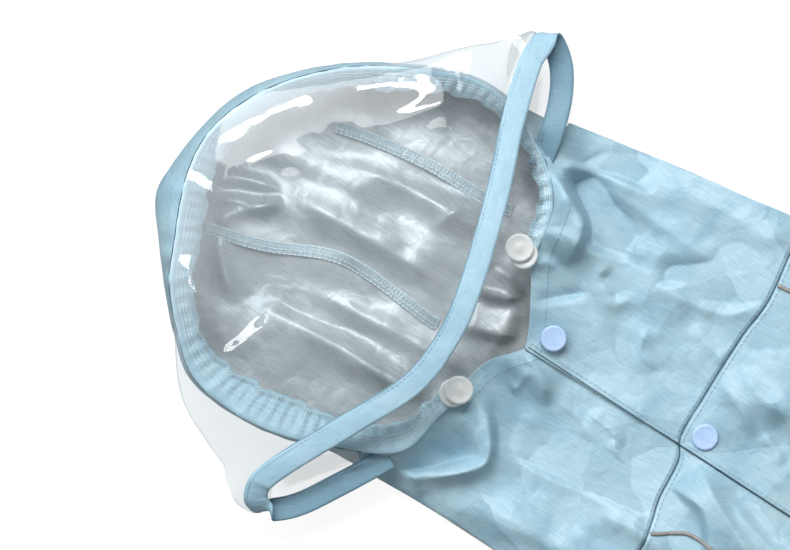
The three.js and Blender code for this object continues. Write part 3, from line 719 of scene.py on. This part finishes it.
def spread(tree, value, low, high):
    made = node(tree, "ShaderNodeMapRange")
    made.inputs["To Min"].default_value = low
    made.inputs["To Max"].default_value = high
    tree.links.new(value, made.inputs["Value"])
    return made.outputs["Result"]


def eased(tree, value, start, end, low=0.0, high=1.0):
    """A value taken from one range to another along a smooth step."""
    made = node(tree, "ShaderNodeMapRange", interpolation_type="SMOOTHSTEP")
    for name, limit in (("From Min", start), ("From Max", end), ("To Min", low), ("To Max", high)):
        made.inputs[name].default_value = limit
    tree.links.new(value, made.inputs["Value"])
    return made.outputs["Result"]


def combined(tree, operation, *values):
    """One step of arithmetic on sockets and plain numbers."""
    made = node(tree, "ShaderNodeMath", operation=operation)
    for socket, value in zip(made.inputs, values):
        if isinstance(value, bpy.types.NodeSocket):
            tree.links.new(value, socket)
        else:
            socket.default_value = value
    return made.outputs[0]


def blended(tree, share, first, second):
    """One shader turning into another."""
    made = node(tree, "ShaderNodeMixShader")
    for socket, value in zip(made.inputs, (share, first, second)):
        tree.links.new(value, socket)
    return made.outputs[0]


def facets(tree, vector, scale, tilt):
    """A normal that tips a little from one flat patch of crumpled cloth to the next."""
    warp = node(tree, "ShaderNodeTexNoise")
    warp.inputs["Scale"].default_value = scale * 0.8
    tree.links.new(vector, warp.inputs["Vector"])
    moved = node(tree, "ShaderNodeVectorMath", operation="MULTIPLY_ADD")
    tree.links.new(warp.outputs["Color"], moved.inputs[0])
    moved.inputs[1].default_value = (0.9 / scale,) * 3
    tree.links.new(vector, moved.inputs[2])
    patches = node(tree, "ShaderNodeTexVoronoi")
    patches.inputs["Scale"].default_value = scale
    tree.links.new(moved.outputs[0], patches.inputs["Vector"])
    tip = node(tree, "ShaderNodeVectorMath", operation="MULTIPLY_ADD")
    tree.links.new(patches.outputs["Color"], tip.inputs[0])
    tip.inputs[1].default_value = (tilt, tilt, 0)
    tip.inputs[2].default_value = (-tilt / 2, -tilt / 2, 0)
    surface = node(tree, "ShaderNodeNewGeometry")
    total = node(tree, "ShaderNodeVectorMath", operation="ADD")
    tree.links.new(surface.outputs["Normal"], total.inputs[0])
    tree.links.new(tip.outputs[0], total.inputs[1])
    even = node(tree, "ShaderNodeVectorMath", operation="NORMALIZE")
    tree.links.new(total.outputs[0], even.inputs[0])
    return even.outputs[0]


def coated_cloth(name, deep, pale, roughness, metallic, patch_tilt, rib_depth):
    """Thin coated polyester: fine slubby ribs, small crumples, and flat patches that catch the light."""
    material, tree, shader = new_finish(name)
    place = node(tree, "ShaderNodeUVMap", uv_map="cloth").outputs["UV"]
    ribs = noise(tree, stretched(tree, place, (130, 1150, 1)), 1.0, 3.0)
    threads_along = noise(tree, stretched(tree, place, (1500, 260, 1)), 1.0, 1.0)
    crumple = noise(tree, place, 85, 3.0, 0.6)
    broad = noise(tree, place, 22, 3.0, 1.2)
    normal = facets(tree, place, 36, patch_tilt)
    normal = bump(tree, crumple, 0.0008, normal)
    normal = bump(tree, ribs, rib_depth, normal)
    normal = bump(tree, threads_along, rib_depth * 0.5, normal)
    tone = combined(tree, "MULTIPLY_ADD", ribs, 0.45, spread(tree, broad, -0.1, 0.65))
    base = colour_ramp(tree, tone, (0.25, deep), (0.75, pale))
    tree.links.new(base, shader.inputs["Base Color"])
    tree.links.new(spread(tree, broad, roughness - 0.08, roughness + 0.1), shader.inputs["Roughness"])
    shader.inputs["Metallic"].default_value = metallic
    shader.inputs["Specular IOR Level"].default_value = 0.5
    tree.links.new(normal, shader.inputs["Normal"])
    return material


def plain_finish(name, deep, pale, roughness, scale, depth, see_through=0.0):
    """A moulded or twisted finish on the piece's own coordinates."""
    material, tree, shader = new_finish(name)
    place = node(tree, "ShaderNodeTexCoord").outputs["Object"]
    cloud = noise(tree, place, scale, 3.0)
    tree.links.new(colour_ramp(tree, cloud, (0.3, deep), (0.7, pale)), shader.inputs["Base Color"])
    tree.links.new(spread(tree, cloud, roughness - 0.06, roughness + 0.06), shader.inputs["Roughness"])
    tree.links.new(bump(tree, noise(tree, place, scale * 4), depth), shader.inputs["Normal"])
    shader.inputs["Subsurface Weight"].default_value = see_through
    shader.inputs["Subsurface Radius"].default_value = (0.002, 0.002, 0.002)
    return material


FILM_FACING = (0.945, 0.965, 0.972)
FILM_EDGE_ON = (0.66, 0.76, 0.80)


def clear_film(name):
    """Soft vinyl film: clear, glossy, faintly cloudy and a little wavy."""
    material, tree, shader = new_finish(name)
    tree.nodes.remove(shader)
    output = tree.nodes["Material Output"]
    place = node(tree, "ShaderNodeUVMap", uv_map="cloth").outputs["UV"]
    waves = bump(tree, noise(tree, place, 30, 2.0, 0.8), 0.0005)
    clear = node(tree, "ShaderNodeBsdfTransparent")
    edge_on = node(tree, "ShaderNodeLayerWeight")
    edge_on.inputs["Blend"].default_value = 0.3
    tint = colour_ramp(tree, edge_on.outputs["Facing"], (0.1, FILM_FACING), (0.9, FILM_EDGE_ON))
    tree.links.new(tint, clear.inputs["Color"])
    cloudy = node(tree, "ShaderNodeBsdfDiffuse")
    cloudy.inputs["Color"].default_value = (0.78, 0.87, 0.93, 1)
    gloss = node(tree, "ShaderNodeBsdfGlossy")
    gloss.inputs["Roughness"].default_value = 0.045
    tree.links.new(waves, gloss.inputs["Normal"])
    apart = node(tree, "ShaderNodeSeparateXYZ")
    tree.links.new(place, apart.inputs[0])
    by_lip = eased(tree, apart.outputs["Y"], 0.004, 0.03, 0.26, 0.03)
    crown = eased(tree, apart.outputs["X"], 0.36, 0.29)
    lip_haze = combined(tree, "MULTIPLY", by_lip, crown)
    clouds = spread(tree, noise(tree, place, 26, 4.0, 1.5), 0.0, 0.1)
    fog = combined(tree, "ADD", lip_haze, clouds)
    body_shader = blended(tree, fog, clear.outputs[0], cloudy.outputs[0])
    shine = node(tree, "ShaderNodeFresnel")
    shine.inputs["IOR"].default_value = 1.55
    tree.links.new(waves, shine.inputs["Normal"])
    capped = combined(tree, "MINIMUM", shine.outputs[0], 0.3)
    whole = blended(tree, capped, body_shader, gloss.outputs[0])
    tree.links.new(whole, output.inputs["Surface"])
    return material


BLUE = coated_cloth("blue_coated_cloth", (0.22, 0.40, 0.51), (0.42, 0.59, 0.67), 0.46, 0.0, 0.3, 0.00012)
SILVER = coated_cloth("silver_coated_back", (0.3, 0.355, 0.385), (0.64, 0.68, 0.69), 0.42, 0.3, 0.08, 0.00009)
RIBBON = coated_cloth("ribbon_binding", (0.24, 0.42, 0.54), (0.37, 0.55, 0.65), 0.6, 0.0, 0.05, 0.00006)
# The ribbon's second side is the same blue tape made darker: painted shade for the far legs of its loops,
# which turn that side up.
RIBBON_PAINTED_SHADE = coated_cloth("ribbon_painted_shade", (0.14, 0.27, 0.36), (0.2, 0.35, 0.45), 0.55, 0.0, 0.08, 0.00006)
CASING_BLUE = coated_cloth("casing_cloth", (0.34, 0.55, 0.67), (0.49, 0.70, 0.80), 0.45, 0.0, 0.2, 0.00006)
SEAM_BAND = coated_cloth("overlocked_edge", (0.34, 0.46, 0.53), (0.58, 0.70, 0.75), 0.6, 0.0, 0.05, 0.00012)
PIPING_GREY = plain_finish("reflective_piping", (0.22, 0.21, 0.20), (0.36, 0.34, 0.32), 0.4, 900, 0.0001)
THREAD = plain_finish("pale_thread", (0.76, 0.87, 0.92), (0.90, 0.95, 0.97), 0.6, 1400, 0.0001)
ROW_THREAD = plain_finish("shaded_thread", (0.20, 0.35, 0.46), (0.32, 0.48, 0.59), 0.6, 1400, 0.0001)
# A near-black cord finish: painted shade, laid along seams and under the lip to stand for the shadow in their
# grooves.
SHADE = plain_finish("painted_groove_shade", (0.04, 0.09, 0.13), (0.07, 0.13, 0.17), 0.8, 600, 0.0001)
SNAP_BLUE = plain_finish("periwinkle_resin", (0.38, 0.53, 0.78), (0.44, 0.59, 0.82), 0.35, 260, 0.00002, 0.2)
SNAP_CLEAR = plain_finish("milky_resin", (0.74, 0.77, 0.76), (0.84, 0.87, 0.86), 0.3, 260, 0.00002, 0.4)
CLEAR = clear_film("clear_vinyl")


# Making pieces


def show(name, mesh, finishes, replaced=()):
    piece = bpy.data.objects.new(name, mesh)
    bpy.context.scene.collection.objects.link(piece)
    for finish in finishes:
        mesh.materials.append(finish)
    mesh.shade_smooth()
    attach(piece, "root")
    if replaced:
        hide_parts(*replaced)
    return piece


def cloth_sheet(
    name,
    columns,
    rows,
    point,
    size,
    finishes,
    thickness,
    replaced=(),
    cut=None,
    ring=False,
    flip=False,
):
    """A sheet whose points are put where point(u, v) says, u and v running from 0 to 1 over a plain grid.

    Its weave follows a strip of the given size, or with no size lies straight along the coat.
    With no thickness it stays a single layer."""
    grid = bmesh.new()
    bmesh.ops.create_grid(grid, x_segments=columns, y_segments=rows, size=0.5)
    spots = np.array([vert.co[:2] for vert in grid.verts]) + 0.5
    placed = metres(point(spots[:, 0], 1 - spots[:, 1] if flip else spots[:, 1]))
    uv = grid.loops.layers.uv.new("cloth")
    on_map = placed[:, :2] + placed[:, 2:3] * (0.6, 0.4) if size is None else spots * size
    for face in grid.faces:
        for loop in face.loops:
            loop[uv].uv = on_map[loop.vert.index]
    for vert, spot in zip(grid.verts, placed):
        vert.co = spot
    if ring:
        bmesh.ops.remove_doubles(grid, verts=grid.verts, dist=1e-6)
    if cut is not None:
        whole = grid.verts[:] + grid.edges[:] + grid.faces[:]
        bmesh.ops.bisect_plane(grid, geom=whole, plane_co=cut[0], plane_no=cut[1], clear_outer=True)
    mesh = bpy.data.meshes.new(name)
    grid.to_mesh(mesh)
    grid.free()
    piece = show(name, mesh, finishes, replaced)
    if thickness:
        wall = piece.modifiers.new("cloth", "SOLIDIFY")
        wall.thickness = thickness / 1000
        wall.offset = 0
        wall.material_offset = len(finishes) - 1
        wall.material_offset_rim = len(finishes) - 1
    return piece


def thread_runs(name, runs, thickness, finish):
    """Stitches or cords, each along its own points, joined in one piece."""
    line = bpy.data.curves.new(name, "CURVE")
    line.dimensions = "3D"
    line.bevel_depth = thickness / 2000
    line.bevel_resolution = 1
    line.use_fill_caps = True
    for run in runs:
        spline = line.splines.new("POLY")
        spline.points.add(len(run) - 1)
        places = metres(run)
        spline.points.foreach_set("co", np.hstack([places, np.ones((len(places), 1))]).ravel())
    holder = bpy.data.objects.new(name + "_line", line)
    bpy.context.scene.collection.objects.link(holder)
    graph = bpy.context.evaluated_depsgraph_get()
    mesh = bpy.data.meshes.new_from_object(holder.evaluated_get(graph))
    bpy.data.objects.remove(holder)
    mesh.name = name
    mesh.materials.clear()
    return show(name, mesh, [finish])


def dashes(points, pitch=2.6, share=0.66):
    """Cuts a line into stitches."""
    points = np.asarray(points, float)
    steps = np.linalg.norm(np.diff(points, axis=0), axis=1)
    reach = np.concatenate([[0], np.cumsum(steps)])
    runs = []
    for k in range(int(reach[-1] / pitch)):
        marks = np.array([k, k + share / 2, k + share]) * pitch
        runs.append(np.stack([np.interp(marks, reach, points[:, i]) for i in range(3)], axis=1))
    return runs


def on_cloth(tree, x, y, lift):
    """The points of a line laid on the cloth below it, a little to one side where it runs along a gap."""
    laid = []
    for a, b in zip(x, y):
        for aside in (0, 0.5, -0.5):
            hit = tree.ray_cast(Vector(metres((a, b + aside, 200.0))), Vector((0, 0, -1)))[0]
            if hit is not None:
                laid.append((a, b, hit.z * 1000 + lift))
                break
    return np.array(laid)


def cloth_below(*pieces):
    graph = bpy.context.evaluated_depsgraph_get()
    corners, faces = [], []
    for piece in pieces:
        shown = piece.evaluated_get(graph)
        mesh = shown.to_mesh()
        start = len(corners)
        corners.extend(vert.co[:] for vert in mesh.vertices)
        faces.extend([start + i for i in face.vertices] for face in mesh.polygons)
        shown.to_mesh_clear()
    return BVHTree.FromPolygons(corners, faces)


def spun_disc(name, profile, centre, finish, replaced, steps=48):
    """A snap's disc, turned from half a section."""
    turned = bmesh.new()
    verts = [turned.verts.new((radius / 1000, 0, z / 1000)) for radius, z in profile]
    edges = [turned.edges.new(pair) for pair in zip(verts, verts[1:])]
    bmesh.ops.spin(
        turned,
        geom=verts + edges,
        cent=(0, 0, 0),
        axis=(0, 0, 1),
        angle=2 * math.pi,
        steps=steps,
        use_merge=True,
        use_duplicate=False,
    )
    bmesh.ops.remove_doubles(turned, verts=turned.verts, dist=1e-6)
    bmesh.ops.recalc_face_normals(turned, faces=turned.faces)
    bmesh.ops.translate(turned, verts=turned.verts, vec=Vector(centre))
    mesh = bpy.data.meshes.new(name)
    turned.to_mesh(mesh)
    turned.free()
    return show(name, mesh, [finish], replaced)


# The hood
neck_x = metres((NECK_SEAM_X, 0, 0))[0]
hood_cloth = cloth_sheet(
    "hood_cloth",
    330,
    170,
    hood_point,
    None,
    [SILVER, BLUE],
    SHOWN_CLOTH,
    ("hood_side_left", "hood_centre", "hood_side_right"),
    cut=((neck_x, 0, 0), (1, 0, 0)),
    ring=True,
)

casing = cloth_sheet(
    "casing_cloth", 900, 16, casing_point, (0.5, 0.014), [CASING_BLUE], SHOWN_CLOTH, ("rim_casing",)
)

film = cloth_sheet("film_sheet", 360, 130, film_point, (0.5, 0.09), [CLEAR], 0, ("visor_film",))

# The binding's second side carries the darker painted-shade copy of its cloth, seen on the far legs of the
# loops.
binding = cloth_sheet(
    "binding_ribbon",
    420,
    8,
    ribbon_point,
    (0.55, 0.011),
    [RIBBON, RIBBON_PAINTED_SHADE],
    SHOWN_RIBBON,
    ("visor_binding",),
)

# The body
BODY_PARTS = (
    ("yoke", yoke_point, (160, 140), (0.13, 0.12), 0.0105),
    ("front", front_point, (190, 90), (0.2, 0.1), 0.0175),
    ("side", side_point, (170, 40), (0.2, 0.06), 0.0085),
    ("sleeve", sleeve_point, (120, 40), (0.146, 0.07), 0.0088),
)
body = {}
for name, side in SIDE_NAMES:
    for part, point, cells, flat, area in BODY_PARTS:
        is_sleeve = part == "sleeve"
        piece = cloth_sheet(
            f"{part}_{name}_cloth",
            *cells,
            lambda u, v: point(side, u, v),
            None,
            [BLUE, SILVER],
            SHOWN_CLOTH,
            (f"{part}_{name}",),
            ring=is_sleeve,
            flip=side < 0 and not is_sleeve,
        )
        body[f"{part}_{name}"] = piece

back = cloth_sheet("back_cloth", 230, 140, back_point, None, [SILVER, BLUE], SHOWN_CLOTH, ("back_panel",))
SHARP_REACH = 0.0002
for piece in (hood_cloth, back):
    across = np.array([vert.co.x for vert in piece.data.vertices])
    for edge in piece.data.edges:
        edge.use_edge_sharp = all(abs(across[end] - neck_x) < SHARP_REACH for end in edge.vertices)

# Piping, seams and stitches
top_cloth = cloth_below(*body.values())


CHEST_SEAM_END_X = {"left": 80, "right": 90}


def chest_line(name, side, start, short, shift, lift):
    """A line along the seam across the chest, from the placket to a little short of the side."""
    y = np.linspace(start, side_edge(CHEST_SEAM_END_X[name], name) - side * short, 200)
    return on_cloth(top_cloth, cross_seam(y) + shift, y, lift)


def stitched(x, y, lift=0.2):
    return dashes(on_cloth(top_cloth, x, y, lift))


for name, root_y in (("left", 88.0), ("right", -44.0)):
    run = np.linspace(cross_seam(root_y) + 1, FRONT_HEM_X, 240)
    cord = on_cloth(top_cloth, run, piping_line(run, name), 0.5)
    piping = thread_runs(f"piping_{name}_cord", [cord], PIPING_CORD, PIPING_GREY)
    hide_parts("piping_" + name)

left_seam = chest_line("left", 1, 0.5, 2, 0, 0.25)
right_seam = chest_line("right", -1, -0.8, 2, 0, 0.25)
edge_x = np.linspace(polar(0, 85)[0] + 1, FRONT_HEM_X - 1, 400)
lap_edge = on_cloth(top_cloth, edge_x, np.full_like(edge_x, -0.5), 0.3)
lip_angles = np.linspace(96, 300, 400)
lip_groove = stack(*polar(lip_angles, hood(lip_angles, "lip") + 0.9), hood(lip_angles, "lip_z") - 0.7)
# Dark cords along the chest seams, the placket edge and under the hood's lip: painted shade for the shadow in
# those grooves.
thread_runs("painted_shade_cords", [left_seam, right_seam, lap_edge, lip_groove], 0.45, SHADE)

HEM_STITCH_INSET = 8.0
CUFF_STITCH_INSET = 9
CUFF_STITCH_REACH = 26
stitch_lines = stitched(edge_x, np.full_like(edge_x, 1.6), 0.15)
for shift in (-1.8, 2.0):
    for name, side in SIDE_NAMES:
        stitch_lines += dashes(chest_line(name, side, side * 2, 3, shift, 0.2))
for name, side in SIDE_NAMES:
    y = np.linspace(side * 2.0, piping_line(FRONT_HEM_X, name), 160)
    stitch_lines += stitched(np.full_like(y, FRONT_HEM_X - HEM_STITCH_INSET), y)
    cuff_x = SLEEVE["x"] - SLEEVE["forward"]
    x = np.linspace(cuff_x - CUFF_STITCH_REACH, cuff_x + CUFF_STITCH_REACH, 90)
    stitch_lines += stitched(x, side_edge(x, name) + side * (SLEEVE["length"] - CUFF_STITCH_INSET))
rim_angles = np.concatenate([np.linspace(-28, 0, 60), np.linspace(2, 58, 140)])
rim_x, rim_y = polar(rim_angles, hood(rim_angles, "lip") + 8)
stitch_lines += stitched(rim_x, rim_y)
thread_runs("body_stitches", stitch_lines, 0.35, ROW_THREAD)

# The hood's overlocked seams, on the silver side
floor_cloth = cloth_below(hood_cloth)
HOOD_SEAMS = (
    ((206, 228), (262, 245), (330, 255), (370, 275), (430, 320), (459, 335), (496, 360)),
    ((336, 126), (375, 140), (430, 165), (480, 195), (505, 208), (536, 222)),
)


def line_length(line):
    return np.linalg.norm(np.diff(line, axis=0), axis=1).sum()


def along_line(line, places):
    """A line's values at any places between its points."""
    index = np.arange(len(line))
    return np.stack([np.interp(places, index, column) for column in line.T], axis=-1)


def overlock(line, width, pitch=1.3):
    """A zigzag of thread over the edge of a seam, and the straight rows beside it."""
    beside = np.cross(unit(np.gradient(line, axis=0)), (0, 0, 1.0))
    count = int(line_length(line) / pitch) * 2
    places = np.linspace(0, len(line) - 1, count)
    swing = np.where(np.arange(count) % 2 == 0, -0.5, 0.5)[:, None] * width
    zigzag = along_line(line, places) + along_line(beside, places) * swing + (0, 0, 0.45)
    rows = [line + beside * width * share + (0, 0, 0.5) for share in (-0.5, 0.12, 0.5)]
    return zigzag, rows


zigzags, straight = [], []
for k, way in enumerate(HOOD_SEAMS):
    path = smooth_path([from_photo(*spot) for spot in way], 260)
    laid = on_cloth(floor_cloth, path[:, 0], path[:, 1], 0.3)
    strip_side = np.gradient(laid[:, :2], axis=0)
    strip_side = unit(np.stack([strip_side[:, 1], -strip_side[:, 0]], axis=1))

    def seam_strip(u, v, laid=laid, strip_side=strip_side):
        places = np.clip(u, 0, 1) * (len(laid) - 1)
        spots, aside = along_line(laid, places), along_line(strip_side, places)
        x = spots[:, 0] + aside[:, 0] * (v - 0.5) * OVERLOCK_BAND
        y = spots[:, 1] + aside[:, 1] * (v - 0.5) * OVERLOCK_BAND
        z = spots[:, 2] + 0.2 * np.sin(u * 190) * v
        return stack(x, y, z + 0.15 + 0.15 * (1 - (2 * v - 1) ** 2))

    strip = cloth_sheet(f"hood_seam_{k + 1}", 260, 6, seam_strip, (0.16, 0.007), [SEAM_BAND], 0.4, flip=True)
    zigzag, rows = overlock(laid + (0, 0, 0.3), 5.0)
    zigzags.append(zigzag)
    straight += rows

around = np.linspace(0.004, 0.996, 900)
zigzags.append(overlock(casing_point(around, np.full_like(around, 0.86), 0.35), 3.6, 1.4)[0])
for share in (0.34, 0.48, 0.62):
    straight.append(casing_point(around, np.full_like(around, share), 0.3))
thread_runs("overlock_threads", zigzags, 0.44, THREAD)
thread_runs("overlock_rows", [part for row in straight for part in dashes(row, 2.4, 0.74)], 0.42, THREAD)

# The ribbon's edge stitch
along = np.linspace(0.004, 0.996, 600)
_, middle, free, tangent = ribbon_frame(along)
face = np.cross(tangent, free)
face *= np.sign(face[:, 2:3])
edge = middle - free * (RIBBON_WIDTH / 2 - STITCH_INSET)
ribbon_stitches = dashes(edge + face * 0.75, 2.4, 0.6) + dashes(edge - face * 0.65, 2.4, 0.6)
thread_runs("ribbon_stitches", ribbon_stitches, 0.4, ROW_THREAD)

# The snaps
CAP = ((0, 0), (5.9, 0), (6.2, 0.4), (6.2, 1.3), (5.9, 1.95), (5.3, 2.15), (4.7, 2.0), (2.5, 1.95), (0, 1.95))
DISC = (
    ((0, 0), (6.2, 0), (6.7, 0.4), (6.7, 1.0), (6.3, 1.5))
    + ((5.6, 1.7), (4.9, 1.45), (2.0, 1.4), (1.6, 1.6), (0, 1.6))
)


def snap(name, profile, finish, node_name):
    """A disc on the axis of the solid snap that it takes the place of."""
    low, high = (Vector(corner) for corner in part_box(node_name))
    centre = (low + high) / 2
    spun_disc(name, profile, (centre.x, centre.y, low.z), finish, (node_name,))


for i in range(1, 5):
    snap(f"blue_snap_{i}", CAP, SNAP_BLUE, f"placket_snap_{i}")
for side in ("left", "right"):
    for part in ("socket", "cap"):
        snap(f"clear_snap_{side}_{part}", DISC, SNAP_CLEAR, f"rim_snap_{side}_{part}")

# The table, the lights and the camera
TABLE_HALF = 6
TABLE_Z = -0.0006
ground = bmesh.new()
bmesh.ops.create_grid(ground, x_segments=1, y_segments=1, size=TABLE_HALF)
bmesh.ops.translate(ground, verts=ground.verts, vec=(0, 0, TABLE_Z))
floor_mesh = bpy.data.meshes.new("table_top")
ground.to_mesh(floor_mesh)
ground.free()
table = bpy.data.objects.new("table_top", floor_mesh)
bpy.context.scene.collection.objects.link(table)
pale, _, pale_shader = new_finish("pale_table")
pale_shader.inputs["Base Color"].default_value = (0.15, 0.15, 0.15, 1)
pale_shader.inputs["Specular IOR Level"].default_value = 0
pale_shader.inputs["Roughness"].default_value = 0.9
pale_shader.inputs["Emission Color"].default_value = (1, 1, 1, 1)
pale_shader.inputs["Emission Strength"].default_value = 0.9
floor_mesh.materials.append(pale)
table.visible_diffuse = False
table.visible_glossy = False

IMAGE_RIGHT = Vector((math.cos(PHOTO_TURN), math.sin(PHOTO_TURN), 0))
IMAGE_UP = Vector((-math.sin(PHOTO_TURN), math.cos(PHOTO_TURN), 0))
photo_middle = Vector(metres((*from_photo(PHOTO_SIZE[0] / 2, PHOTO_SIZE[1] / 2), 0)))
CAMERA_HEIGHT = 3.0
SCALE_HEIGHT = 0.01
FRAME_WIDTH = PHOTO_SIZE[0] * PIXEL / 1000
SENSOR = 36

lens = bpy.data.cameras.new("photo_camera")
lens.sensor_width = SENSOR
lens.lens = SENSOR * (CAMERA_HEIGHT - SCALE_HEIGHT) / FRAME_WIDTH
lens.clip_end = 50
camera = bpy.data.objects.new("photo_camera", lens)
camera.location = photo_middle + Vector((0, 0, CAMERA_HEIGHT))
camera.rotation_euler = (0, 0, PHOTO_TURN)
bpy.context.scene.collection.objects.link(camera)
bpy.context.scene.camera = camera


def soft_box(name, across, up, height, size, power):
    """A soft box placed by the photograph's own right and up, aimed at the hood."""
    light = bpy.data.lights.new(name, "AREA")
    light.shape = "RECTANGLE"
    light.size, light.size_y = size
    light.energy = power
    box = bpy.data.objects.new(name, light)
    box.location = photo_middle + IMAGE_RIGHT * across + IMAGE_UP * up + Vector((0, 0, height))
    aim = photo_middle - box.location
    box.rotation_euler = aim.to_track_quat("-Z", "Y").to_euler()
    bpy.context.scene.collection.objects.link(box)


soft_box("key_box", -0.3, 1.3, 1.8, (1.9, 1.2), 46)
soft_box("top_strip", 0.1, 1.2, 1.5, (0.6, 0.16), 8)
soft_box("strip_box", -0.75, 0.95, 1.5, (0.5, 0.10), 4)
soft_box("left_strip", -1.3, 0.3, 1.3, (0.26, 0.7), 8)
world = bpy.data.worlds.new("studio")
world.use_nodes = True
background = world.node_tree.nodes["Background"]
background.inputs["Color"].default_value = (1, 1, 1, 1)
background.inputs["Strength"].default_value = 0.3
bpy.context.scene.world = world
bpy.context.scene.view_settings.view_transform = "Standard"
